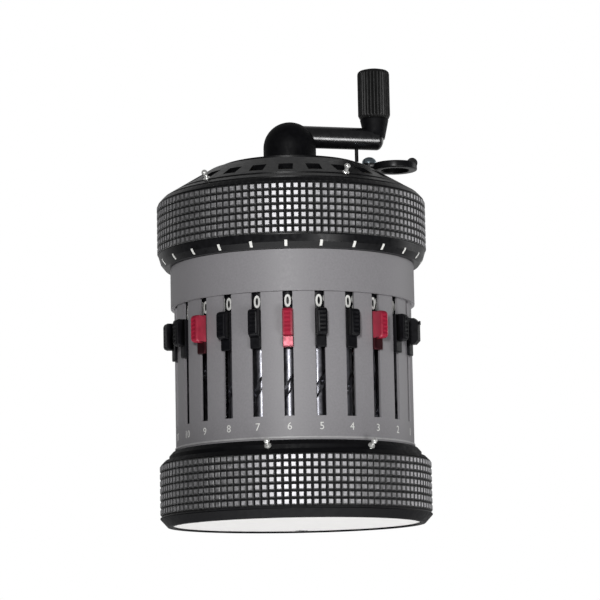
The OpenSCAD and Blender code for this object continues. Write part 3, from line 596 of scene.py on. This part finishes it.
base = piece(base_grip(), KNURL, "frame", "black_enamel", "base_ring")
trim(base, MATTE, lambda p: not FOOT_H - KNURL_DEPTH < p.z < SHOULDER_Z)
trim(base, TIPS, lambda p: FOOT_H < p.z < SHOULDER_Z and math.hypot(p.x, p.y) > TIP_R)
carriage = piece(carriage_grip(), KNURL, "carriage", "black_enamel", "carriage_ring")
trim(carriage, BLACK, lambda p: p.z > LIP_TOP - LIP_H)
trim(carriage, TIPS, lambda p: math.hypot(p.x, p.y) > TIP_R)


# Sleeve details

BEAD_Z = 0.35
BEAD_H = 0.5
BEAD_OUT = 0.22
BEAD_ROUNDING = 0.15
NUMERAL_Z = 21.1
NUMERAL_H = 1.7
NUMERAL_PITCH = 0.8 * NUMERAL_H


def sleeve_bead():
    z = BASE_TOP + BEAD_Z
    inner, outer = SLEEVE_R - BEAD_OUT, SLEEVE_R + BEAD_OUT
    outline = [(inner, z), (outer, z), (outer, z + BEAD_H), (inner, z + BEAD_H)]
    return lathe("sleeve_bead", rounded(outline, BEAD_ROUNDING), steps=192)


def column_angle(k):
    return (k - (COLUMNS + 1) / 2) * COLUMN_ANGLE


def column_numerals():
    items = []
    for k in range(1, COLUMNS + 1):
        number = str(COLUMNS + 1 - k)
        for i, char in enumerate(number):
            shift = (i - (len(number) - 1) / 2) * NUMERAL_PITCH
            angle = column_angle(k) + math.degrees(shift / SLEEVE_R)
            items.append((char, NUMERAL_H, on_cylinder(SLEEVE_R, angle, NUMERAL_Z)))
    return lettering("column_numerals", items)


# The bead's shape is real; its lighter grey is a painted highlight along the sleeve's foot
piece(sleeve_bead(), GREY_EDGE_HIGHLIGHT, "frame", "grey_enamel")
piece(column_numerals(), PRINT, "frame", "white_enamel")


# Setting sliders and number rolls

RIDGES = 5
RIDGE_DEPTH = 0.22
RIDGE_RISE = 0.26
GRIP_SHARP = 30
GRIP_SOFT = 0.42
GRIP_CORNER = 0.8
GRIP_BEVEL_Y = 0.25 * GRIP_CORNER
GRIP_BEVEL_Z = 0.3
RIDGE_INSET = 0.4
RIDGE_SOFT = 0.05
SLIDER_FOOT_SOFT = 0.2
SLIDER_FOOT_TOP_CORNER = 0.2
SLIDER_FOOT_LOW_CORNER = 0.4


def grip_outline(front, back, bottom, top):
    """Side view of a finger knob whose front corners are taken off in steps."""
    bevel = front + GRIP_BEVEL_Y
    return [(back, top), (back, bottom), (front + GRIP_CORNER, bottom), (bevel, bottom + GRIP_BEVEL_Z),
            (front, bottom + GRIP_CORNER), (front, top - GRIP_CORNER), (bevel, top - GRIP_BEVEL_Z),
            (front + GRIP_CORNER, top)]


def foot_spans(k, top):
    """Ends and corners of a foot plate, which is parted on red sliders where the finish changes."""
    low_end = SLIDER_LOW - SLIDER_FOOT_H - GRIP_COVER
    if k not in RED_COLUMNS:
        return [(low_end, top, (0, 0, SLIDER_FOOT_LOW_CORNER, SLIDER_FOOT_TOP_CORNER))]
    return [(SLIDER_LOW, top, (0, 0, 0, SLIDER_FOOT_TOP_CORNER)),
            (low_end, SLIDER_LOW, (0, 0, SLIDER_FOOT_LOW_CORNER, 0))]


def slider_grip(k):
    """Finger knob with ridges on its front, and the foot plate behind and below it."""
    at = place(column_angle(k))
    top, bottom = SLIDER_TOP + GRIP_COVER, SLIDER_LOW - GRIP_COVER
    front, back = -(SLEEVE_R + SLIDER_OUT + RIDGE_RISE), -(SLEEVE_R + SLIDER_GAP)
    outline = grip_outline(front, back, bottom, top)
    knob = cushion(f"slider_grip_{k:02d}", outline, SLIDER_W + 2 * GRIP_COVER, GRIP_SOFT, at, GRIP_SHARP)
    step = (top - bottom - 2 * GRIP_CORNER) / RIDGES
    for i in range(RIDGES):
        z = bottom + GRIP_CORNER + (i + 0.5) * step
        cut = [(front - RIDGE_DEPTH, z - step), (front + RIDGE_DEPTH, z), (front - RIDGE_DEPTH, z + step)]
        combine(knob, cushion("groove", cut, SLIDER_W - 2 * RIDGE_INSET, RIDGE_SOFT, at), "DIFFERENCE")
    foot_front = back - SLIDER_FOOT_T - GRIP_COVER
    foot_w = SLIDER_FOOT_W + 2 * GRIP_COVER
    for z, end, corners in foot_spans(k, top):
        plate = rounded([(back, end), (back, z), (foot_front, z), (foot_front, end)], corners)
        combine(knob, cushion("plate", plate, foot_w, SLIDER_FOOT_SOFT, at, GRIP_SHARP), "UNION")
    return knob


def trim_red_grip(grip, k):
    """Glossy red above the foot plate, duller on the ridged front."""
    turn = place(-column_angle(k))
    knob_r = SLEEVE_R + SLIDER_GAP + SLIDER_FOOT_T + 2 * GRIP_COVER
    ridge_half_w = SLIDER_W / 2 - RIDGE_INSET

    def on_ridges(p):
        return math.hypot(p.x, p.y) > knob_r and abs((turn @ p).x) < ridge_half_w

    trim(grip, GLOSS_RED, lambda p: p.z > SLIDER_LOW - GRIP_COVER)
    trim(grip, RIDGE_RED, on_ridges)


for k in range(1, COLUMNS + 1):
    red = k in RED_COLUMNS
    finish = SLIDER_RED if red else SLIDER_BLACK
    paint(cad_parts[f"setting_slider_{k:02d}"], finish)
    grip = piece(slider_grip(k), finish, f"slider_{k:02d}", "slider_red" if red else "slider_black")
    if red:
        trim_red_grip(grip, k)


ROLL_RISE = 0.6
ROLL_Z = COLLAR_Z - ROLL_H + ROLL_RISE
ROLL_SKIN = 0.04
ROLL_WALL = 0.3
ROLL_DIGIT_H = 3.0
ROLL_DIGIT_WIDTH = 0.8
ROLL_DIGIT_WEIGHT = 0.025
ROLL_DIGIT_LIFT = 0.07
ROLL_DIGIT_Z = 50.3


def number_roll(k):
    inner, outer = ROLL_R - ROLL_WALL, ROLL_R + ROLL_SKIN
    bottom, top = ROLL_Z - ROLL_SKIN, ROLL_Z + ROLL_H
    outline = [(inner, bottom), (outer, bottom), (outer, top), (inner, top)]
    return move(lathe(f"number_roll_{k:02d}", outline, steps=64), place(column_angle(k), SETTING_R))


def roll_digits(k):
    centre = place(column_angle(k), SETTING_R)
    items = []
    for digit in range(DIGITS):
        angle = -digit * 360 / DIGITS
        spot = on_cylinder(ROLL_R + ROLL_SKIN, angle, ROLL_DIGIT_Z, centre, ROLL_DIGIT_WIDTH)
        items.append((str(digit), ROLL_DIGIT_H, spot))
    return lettering(f"roll_digits_{k:02d}", items, ROLL_DIGIT_LIFT, ROLL_DIGIT_WEIGHT)


SPIRAL_LEAD = 20.0
SPIRAL_FROM, SPIRAL_TO = 22.4, 47.8
SPIRAL_STEPS = 120
SPIRAL_SHARP = 30
SPIRAL_CORE_R = 0.9
SPIRAL_CROWN = 1.25
SPIRAL_CROWN_STEPS = 3
SPIRAL_HALF_W = 0.3
FOLLOWER_Z = 44.875
FOLLOWER_ANGLE = -100


def spiral_floor(k):
    """Crowned floor of the spiral groove, which passes the follower pin of the slider at rest."""
    at = place(column_angle(k), SETTING_R)
    section = [(SPIRAL_HALF_W, SPIRAL_CORE_R), (-SPIRAL_HALF_W, SPIRAL_CORE_R)]
    for i in range(2 * SPIRAL_CROWN_STEPS + 1):
        x = SPIRAL_HALF_W * (i / SPIRAL_CROWN_STEPS - 1)
        section.append((x, math.sqrt(SPIRAL_CROWN ** 2 - x ** 2)))
    loops = []
    for i in range(SPIRAL_STEPS + 1):
        z = SPIRAL_FROM + (SPIRAL_TO - SPIRAL_FROM) * i / SPIRAL_STEPS
        a = math.radians(FOLLOWER_ANGLE + (z - FOLLOWER_Z) * 360 / SPIRAL_LEAD)
        c, s = math.cos(a), math.sin(a)
        loops.append([at @ Vector((x * c + r * s, x * s - r * c, z)) for x, r in section])
    return loft(f"spiral_floor_{k:02d}", loops, SPIRAL_SHARP)


for k in range(1, COLUMNS + 1):
    body = f"shaft_{k:02d}"
    piece(spiral_floor(k), CHROME, body, "steel")
    piece(number_roll(k), SLIDER_BLACK, body, "black_dial")
    piece(roll_digits(k), PRINT, body, "white_enamel")


# Carriage details

TICKS = 24
TICK_W = 0.65
TICK_Z = 0.35
TICK_H = 1.3
TICK_SINK, TICK_LIFT = 0.1, 0.04

# Two slopes of the index band, as (height above its lower edge, radius)
BAND_POINTS = ((0.0, 30.7), (1.3, 31.7), (2.95, 32.2))
BAND_BEND = BAND_POINTS[1][0]


def band_radius(z):
    """Radius of the index band at a height above its lower edge."""
    (z0, r0), (z1, r1) = BAND_POINTS[:2] if z <= BAND_BEND else BAND_POINTS[1:]
    return r0 + (r1 - r0) * (z - z0) / (z1 - z0)


def index_ticks():
    """White ticks that bend with the slope of the index band."""
    heights = (TICK_Z, BAND_BEND, TICK_Z + TICK_H)
    points, faces = [], []
    for i in range(TICKS):
        start = len(points)
        for z in heights:
            for lift in (-TICK_SINK, TICK_LIFT):
                for side in (-1, 1):
                    r = band_radius(z) + lift
                    a = math.radians(i * COLUMN_ANGLE) + side * TICK_W / 2 / r
                    points.append((r * math.sin(a), -r * math.cos(a), BAND_Z + z))
        for j in range(len(heights) - 1):
            a, b = start + 4 * j, start + 4 * (j + 1)
            faces += [(a + 2, a + 3, b + 3, b + 2), (a + 1, a, b, b + 1),
                      (a, a + 2, b + 2, b), (a + 3, a + 1, b + 1, b + 3)]
        end = start + 4 * (len(heights) - 1)
        faces += [(start, start + 1, start + 3, start + 2), (end, end + 2, end + 3, end + 1)]
    return mesh_object("index_ticks", points, faces)


def slope_place(angle):
    """Matrix of a window in the lid: X along the circle, Y up the slope, Z out of the lid."""
    z = LIP_TOP + LID_EDGE_H + LID_SLOPE * (LID_EDGE_R - WINDOW_R)
    return place(angle, WINDOW_R, z) @ Matrix.Rotation(LID_TILT, 4, "X")


DIAL_DIGIT_H = 2.6


def dial_digits(name, angles):
    """Ten digits around each dial, with 0 in the window."""
    items = []
    for angle in angles:
        axis = slope_place(angle) @ Matrix.Translation((0, 0, -DIAL_DROP))
        for i in range(DIGITS):
            turn = axis @ Matrix.Rotation(2 * math.pi * i / DIGITS, 4, "Y")

            def spot(x, y, lift, turn=turn):
                r = DIAL_R + lift
                return turn @ Vector((r * math.sin(x / DIAL_R), y, r * math.cos(x / DIAL_R)))
            items.append((str(-i % DIGITS), DIAL_DIGIT_H, spot))
    return lettering(name, items)


RESULT_ANGLES = [column_angle(1) + i * COLUMN_ANGLE for i in range(RESULT_DIALS)]
COUNTER_ANGLES = [column_angle(1) + (RESULT_DIALS + i) * COLUMN_ANGLE for i in range(COUNTER_DIALS)]

piece(index_ticks(), PRINT, "carriage", "white_enamel")
piece(dial_digits("result_digits", RESULT_ANGLES), PRINT, "carriage", "white_enamel")
piece(dial_digits("counter_digits", COUNTER_ANGLES[1:]), DARK_PRINT, "carriage", "black_dial")
piece(dial_digits("units_digits", COUNTER_ANGLES[:1]), DARK_PRINT, "units_dial", "black_dial")


# Crank

FLUTES = 26
FLUTE_STEPS = 6
FLUTE_DEPTH = 0.3
FLUTE_SHARP = 50
KNOB_PLAY = 0.06
KNOB_RECESS_W = 0.7
SPINDLE_HEAD_T = 0.9
SPINDLE_HEAD_DROP = 0.2

# Ends of the knob: inset from its radius, distance from its end and share of the flutes' depth
KNOB_FOOT = ((0.9, 0.0, 0), (0.35, 0.35, 0.2), (0.0, 1.1, 1))
KNOB_CROWN = ((0.0, 1.1, 1), (0.15, 0.6, 0.6), (0.5, 0.3, 0.1), (1.6, 0.0, 0))


def crank_handle():
    """Domed hub, round arm and the neck that carries the knob."""
    hub_low = low("crank_arm").z
    dome_z = ARM_Z + ARM_R + HUB_RISE - HUB_R
    hub_dome = dome(HUB_R, dome_z, HUB_R, steps=16)
    hub_profile = [(HUB_R, hub_low), *hub_dome, (HUB_CROWN_R, dome_z + HUB_R)]
    hub = lathe_solid("crank_handle", hub_profile, steps=96)
    end = CRANK_R + ARM_END
    tip = dome(ARM_R, end - ARM_ROUNDING, ARM_ROUNDING, steps=8)
    arm = lathe_solid("arm", [(ARM_R, ARM_START), *tip, (ARM_CROWN_R, end)], steps=64)
    move(arm, place(CRANK_ANGLE, 0, ARM_Z) @ Matrix.Rotation(math.pi / 2, 4, "X"))
    neck_top = high("crank_arm").z
    neck_middle = (NECK_R - NECK_TAPER / 2, (ARM_Z + neck_top) / 2)
    neck_profile = [(NECK_R - NECK_TAPER, ARM_Z), neck_middle, (NECK_R, neck_top)]
    neck = move(lathe_solid("neck", neck_profile, steps=64), place(CRANK_ANGLE, CRANK_R))
    bore = rod("bore", SHAFT_R + SEAT, hub_low - CUT_OVER, ARM_Z + SEAT)
    hole = move(rod("hole", SPINDLE_R + SEAT, ARM_Z, neck_top + CUT_OVER), place(CRANK_ANGLE, CRANK_R))
    combine(hub, arm, "UNION")
    combine(hub, neck, "UNION")
    combine(hub, bore, "DIFFERENCE")
    return combine(hub, hole, "DIFFERENCE")


def crank_grip():
    """Fluted knob with a domed top that turns on its spindle."""
    bore = SPINDLE_R + KNOB_PLAY
    recess = bore + KNOB_RECESS_W
    seat_z = KNOB_TOP - SPINDLE_HEAD_T - SPINDLE_HEAD_DROP - SEAT
    foot = [(KNOB_R - inset, KNOB_Z + rise, share) for inset, rise, share in KNOB_FOOT]
    crown = [(KNOB_R - inset, KNOB_TOP - drop, share) for inset, drop, share in KNOB_CROWN]
    seat = [(recess, KNOB_TOP, 0), (recess, seat_z, 0), (bore, seat_z, 0)]
    profile = [(bore, KNOB_Z, 0), *foot, *crown, *seat]
    steps = FLUTES * FLUTE_STEPS
    angles = [2 * math.pi * j / steps for j in range(steps)]

    def radius(i, j):
        wave = abs(math.sin(math.pi * j / FLUTE_STEPS))
        return profile[i][0] - profile[i][2] * FLUTE_DEPTH * (1 - wave)

    points, faces = lathe_grid(profile, angles, radius)
    return move(mesh_object("crank_grip", points, faces, FLUTE_SHARP), place(CRANK_ANGLE, CRANK_R))


def off_arm(p):
    """Whether a point of the crank belongs to its hub or to the neck below the knob."""
    knob_at = place(CRANK_ANGLE, CRANK_R) @ Vector((0, 0, ARM_Z))
    on_neck = p.z > ARM_Z and math.hypot(p.x - knob_at.x, p.y - knob_at.y) < NECK_R
    return on_neck or math.hypot(p.x, p.y) < HUB_R + SEAT


crank = piece(crank_handle(), GLOSS, "crank", "black_enamel", "crank_arm")
trim(crank, MATTE, off_arm)
piece(crank_grip(), RUBBER, "knob", "knob_black", "crank_knob")


# Clearing lever

def finger_ring():
    """Flat finger ring with soft edges, the lug that turns on the pivot and the rolled lip at its tip."""
    at = place(PIVOT_ANGLE, PIVOT_R)
    top = CLEARING_TOP + SEAT + LEVER_ROOT_T
    z = top - LEVER_T
    root_z = CLEARING_TOP + SEAT
    outline = [(LEVER_HOLE_R, z), (LEVER_RING_R, z), (LEVER_RING_R, top), (LEVER_HOLE_R, top)]
    ring = lathe("finger_ring", rounded(outline, LEVER_ROUNDING), steps=96)
    move(ring, at @ Matrix.Translation((0, -LEVER_ARM, 0)))
    combine(ring, move(rod("room", LEVER_W / 2 + LUG_ROOM, z - CUT_OVER, root_z), at), "DIFFERENCE")
    lug_end = LEVER_ARM - LEVER_HOLE_R - LUG_REACH
    lug_outline = [(-lug_end, root_z), (-lug_end, top), (0, top), (0, root_z)]
    combine(ring, cushion("lug", lug_outline, LEVER_W, LUG_SOFT, at), "UNION")
    combine(ring, move(rod("root", LEVER_W / 2, root_z, top - ROOT_DROP), at), "UNION")
    tip = at @ Matrix.Translation((0, -(LEVER_ARM + LEVER_RING_R - ROLLED_LIP_R), top - ROLLED_LIP_DROP))
    roll = tip @ Matrix.Rotation(math.pi / 2, 4, "Y")
    half = ROLLED_LIP_L / 2
    end_r, straight = ROLLED_LIP_R - ROLLED_LIP_EDGE, half - ROLLED_LIP_EDGE
    lip_profile = [(end_r, -half), (ROLLED_LIP_R, -straight), (ROLLED_LIP_R, straight), (end_r, half)]
    combine(ring, move(lathe_solid("lip", lip_profile, steps=48), roll), "UNION")
    eye = rod("eye", ROLLED_LIP_R - ROLLED_LIP_WALL, -half - CUT_OVER, half + CUT_OVER)
    combine(ring, move(eye, roll), "DIFFERENCE")
    pin_hole = rod("pin_hole", PIN_HOLE_R, root_z - CUT_OVER, top + CUT_OVER)
    return combine(ring, move(pin_hole, at), "DIFFERENCE")


def pivot_dome():
    """Shouldered screw with a domed head that holds the finger ring."""
    head_r = (high("lever_pivot").x - low("lever_pivot").x) / 2
    head_z = CLEARING_TOP + 2 * SEAT + LEVER_ROOT_T
    rise = PIVOT_TOP - head_z
    head = dome(head_r, head_z + PIVOT_RIM, rise - PIVOT_RIM, steps=8)
    profile = [(PIVOT_SHANK_R, low("lever_pivot").z), (PIVOT_SHANK_R, head_z), (head_r, head_z),
               *head, (PIVOT_CROWN_R, PIVOT_TOP)]
    return move(lathe_solid("pivot_dome", profile, steps=48), place(PIVOT_ANGLE, PIVOT_R))


piece(finger_ring(), BLACK, "finger_lever", "black_enamel", "clearing_lever")
piece(pivot_dome(), BLUED, "clearing", "steel", "lever_pivot")


# Decimal markers; a cap is a list of (radius, height)

MARKER_CAP = ((0.8, 0.17), (0.85, 0.3), (0.75, 0.55), (0.5, 0.65))
BALL_R = 0.72
BALL_Z = 1.8
BALL_FROM = -50
BALL_SPAN = 140
BALL_STEPS = 10
BALL_CROWN_R = 0.1
MARKER_FOOT_R = 0.35
MARKER_FOOT_TOP = 0.4
MARKER_GAP = 0.15


def decimal_bead(node):
    """Bead on a stem and a round cap, square to its slope, with a foot in the groove."""
    angle = polar(middle(node))[1]
    if node.startswith("base"):
        r, slope = BASE_MARKER_R, SHOULDER_SLOPE
        z = BASE_TOP - slope * (r - SHOULDER_TOP_R)
    else:
        r, slope = LID_MARKER_R, LID_SLOPE
        z = LIP_TOP + LID_EDGE_H + slope * (LID_EDGE_R - r)
    turns = [math.radians(BALL_FROM + BALL_SPAN * i / BALL_STEPS) for i in range(BALL_STEPS)]
    ball = [(BALL_R * math.cos(t), BALL_Z + BALL_R * math.sin(t)) for t in turns]
    profile = [*MARKER_CAP, *ball, (BALL_CROWN_R, BALL_Z + BALL_R)]
    at = place(angle, r, z)
    lean = at @ Matrix.Rotation(math.atan(slope), 4, "X")
    bead = move(lathe_solid(node + "_bead", profile, steps=32), lean)
    foot = rod("foot", MARKER_FOOT_R, MARKER_GAP - GROOVE_DEPTH, MARKER_FOOT_TOP, steps=24)
    return combine(bead, move(foot, at), "UNION")


for node, body in MARKERS.items():
    piece(decimal_bead(node), NICKEL, body, "white_enamel", node)


# Stage, lights and camera

FLOOR_HALF = 3000.0
FLOOR_TONE = 0.86


def floor():
    """Pale floor that shows from above and lets the view from below through."""
    corners = [(x * FLOOR_HALF, y * FLOOR_HALF, 0) for x, y in ((-1, -1), (1, -1), (1, 1), (-1, 1))]
    obj = mesh_object("floor", corners, [(0, 1, 2, 3)])
    material = bpy.data.materials.new("pale_floor")
    material.use_nodes = True
    tree = material.node_tree
    tree.nodes.clear()
    out = tree.nodes.new("ShaderNodeOutputMaterial")
    mix = tree.nodes.new("ShaderNodeMixShader")
    pale = tree.nodes.new("ShaderNodeBsdfDiffuse")
    pale.inputs["Color"].default_value = (FLOOR_TONE, FLOOR_TONE, FLOOR_TONE, 1)
    clear = tree.nodes.new("ShaderNodeBsdfTransparent")
    side = tree.nodes.new("ShaderNodeNewGeometry")
    tree.links.new(side.outputs["Backfacing"], mix.inputs["Fac"])
    tree.links.new(pale.outputs["BSDF"], mix.inputs[1])
    tree.links.new(clear.outputs["BSDF"], mix.inputs[2])
    tree.links.new(mix.outputs["Shader"], out.inputs["Surface"])
    obj.data.materials.append(material)
    obj.visible_diffuse = obj.visible_glossy = obj.visible_shadow = obj.visible_transmission = False


WORLD_LIGHT = 0.08
WORLD_BACK = 0.4
WORLD_BACK_RANGE = (0.1, 0.9)
WORLD_BELOW = 3.2
WORLD_BELOW_RANGE = (-0.7, -0.98)


def studio():
    """White surround, dimmer as a light than it looks, and brighter behind and below the object."""
    world = bpy.data.worlds.new("studio")
    SCENE.world = world
    world.use_nodes = True
    tree = world.node_tree
    tree.nodes.clear()
    coordinates = tree.nodes.new("ShaderNodeTexCoord")
    split = tree.nodes.new("ShaderNodeSeparateXYZ")
    tree.links.new(coordinates.outputs["Generated"], split.inputs["Vector"])

    def share(axis, start, end, amount):
        node = tree.nodes.new("ShaderNodeMapRange")
        node.interpolation_type = "SMOOTHSTEP"
        node.inputs["From Min"].default_value = start
        node.inputs["From Max"].default_value = end
        node.inputs["To Max"].default_value = amount
        tree.links.new(split.outputs[axis], node.inputs["Value"])
        return node.outputs["Result"]

    def add(first, second):
        node = tree.nodes.new("ShaderNodeMath")
        tree.links.new(first, node.inputs[0])
        if isinstance(second, float):
            node.inputs[1].default_value = second
        else:
            tree.links.new(second, node.inputs[1])
        return node.outputs["Value"]

    back = share("Y", *WORLD_BACK_RANGE, WORLD_BACK)
    below = share("Z", *WORLD_BELOW_RANGE, WORLD_BELOW)
    strength = add(add(back, below), WORLD_LIGHT)
    light = tree.nodes.new("ShaderNodeBackground")
    tree.links.new(strength, light.inputs["Strength"])
    seen = tree.nodes.new("ShaderNodeBackground")
    path = tree.nodes.new("ShaderNodeLightPath")
    mix = tree.nodes.new("ShaderNodeMixShader")
    out = tree.nodes.new("ShaderNodeOutputWorld")
    light.inputs["Color"].default_value = seen.inputs["Color"].default_value = (1, 1, 1, 1)
    tree.links.new(path.outputs["Is Camera Ray"], mix.inputs["Fac"])
    tree.links.new(light.outputs["Background"], mix.inputs[1])
    tree.links.new(seen.outputs["Background"], mix.inputs[2])
    tree.links.new(mix.outputs["Shader"], out.inputs["Surface"])


TARGET_Z = 55
TARGET = Vector((0, 0, TARGET_Z)) * MM


def area_light(name, azimuth, elevation, distance, size, power):
    """Soft light that faces the object; azimuth 0 stands in front of it and 90 at its right."""
    a, e = math.radians(azimuth), math.radians(elevation)
    away = Vector((math.sin(a) * math.cos(e), -math.cos(a) * math.cos(e), math.sin(e)))
    data = bpy.data.lights.new(name, "AREA")
    data.shape = "DISK"
    data.size = size * MM
    data.energy = power
    obj = bpy.data.objects.new(name, data)
    obj.location = TARGET + away * distance * MM
    obj.rotation_euler = away.to_track_quat("Z", "Y").to_euler()
    SCENE.collection.objects.link(obj)


def lights():
    area_light("front_flash", azimuth=-3, elevation=4, distance=750, size=80, power=2.8)
    area_light("low_strip", azimuth=32, elevation=-20, distance=700, size=220, power=1.2)
    area_light("right_rim", azimuth=118, elevation=4, distance=600, size=300, power=0.35)


CAMERA_AZIMUTH = 2.2
CAMERA_DISTANCE = 664.15
CAMERA_ELEVATION = -8.22
CAMERA_ROLL = 1.107
LOOK_AT = (1.798, 0, 54.353)
LENS = 165.02
SENSOR_W = 36
CLIP_START, CLIP_END = 0.01, 20


def camera():
    data = bpy.data.cameras.new("camera")
    data.lens = LENS
    data.sensor_width = SENSOR_W
    data.clip_start, data.clip_end = CLIP_START, CLIP_END
    obj = bpy.data.objects.new("camera", data)
    turn = Matrix.Rotation(math.radians(CAMERA_AZIMUTH), 4, "Z")
    tilt = Matrix.Rotation(math.radians(90 - CAMERA_ELEVATION), 4, "X")
    roll = Matrix.Rotation(math.radians(-CAMERA_ROLL), 4, "Z")
    away = Matrix.Translation((0, 0, CAMERA_DISTANCE * MM))
    obj.matrix_world = turn @ Matrix.Translation(Vector(LOOK_AT) * MM) @ tilt @ roll @ away
    SCENE.collection.objects.link(obj)
    SCENE.camera = obj


floor()
studio()
lights()
camera()
SCENE.view_settings.view_transform = "Standard"
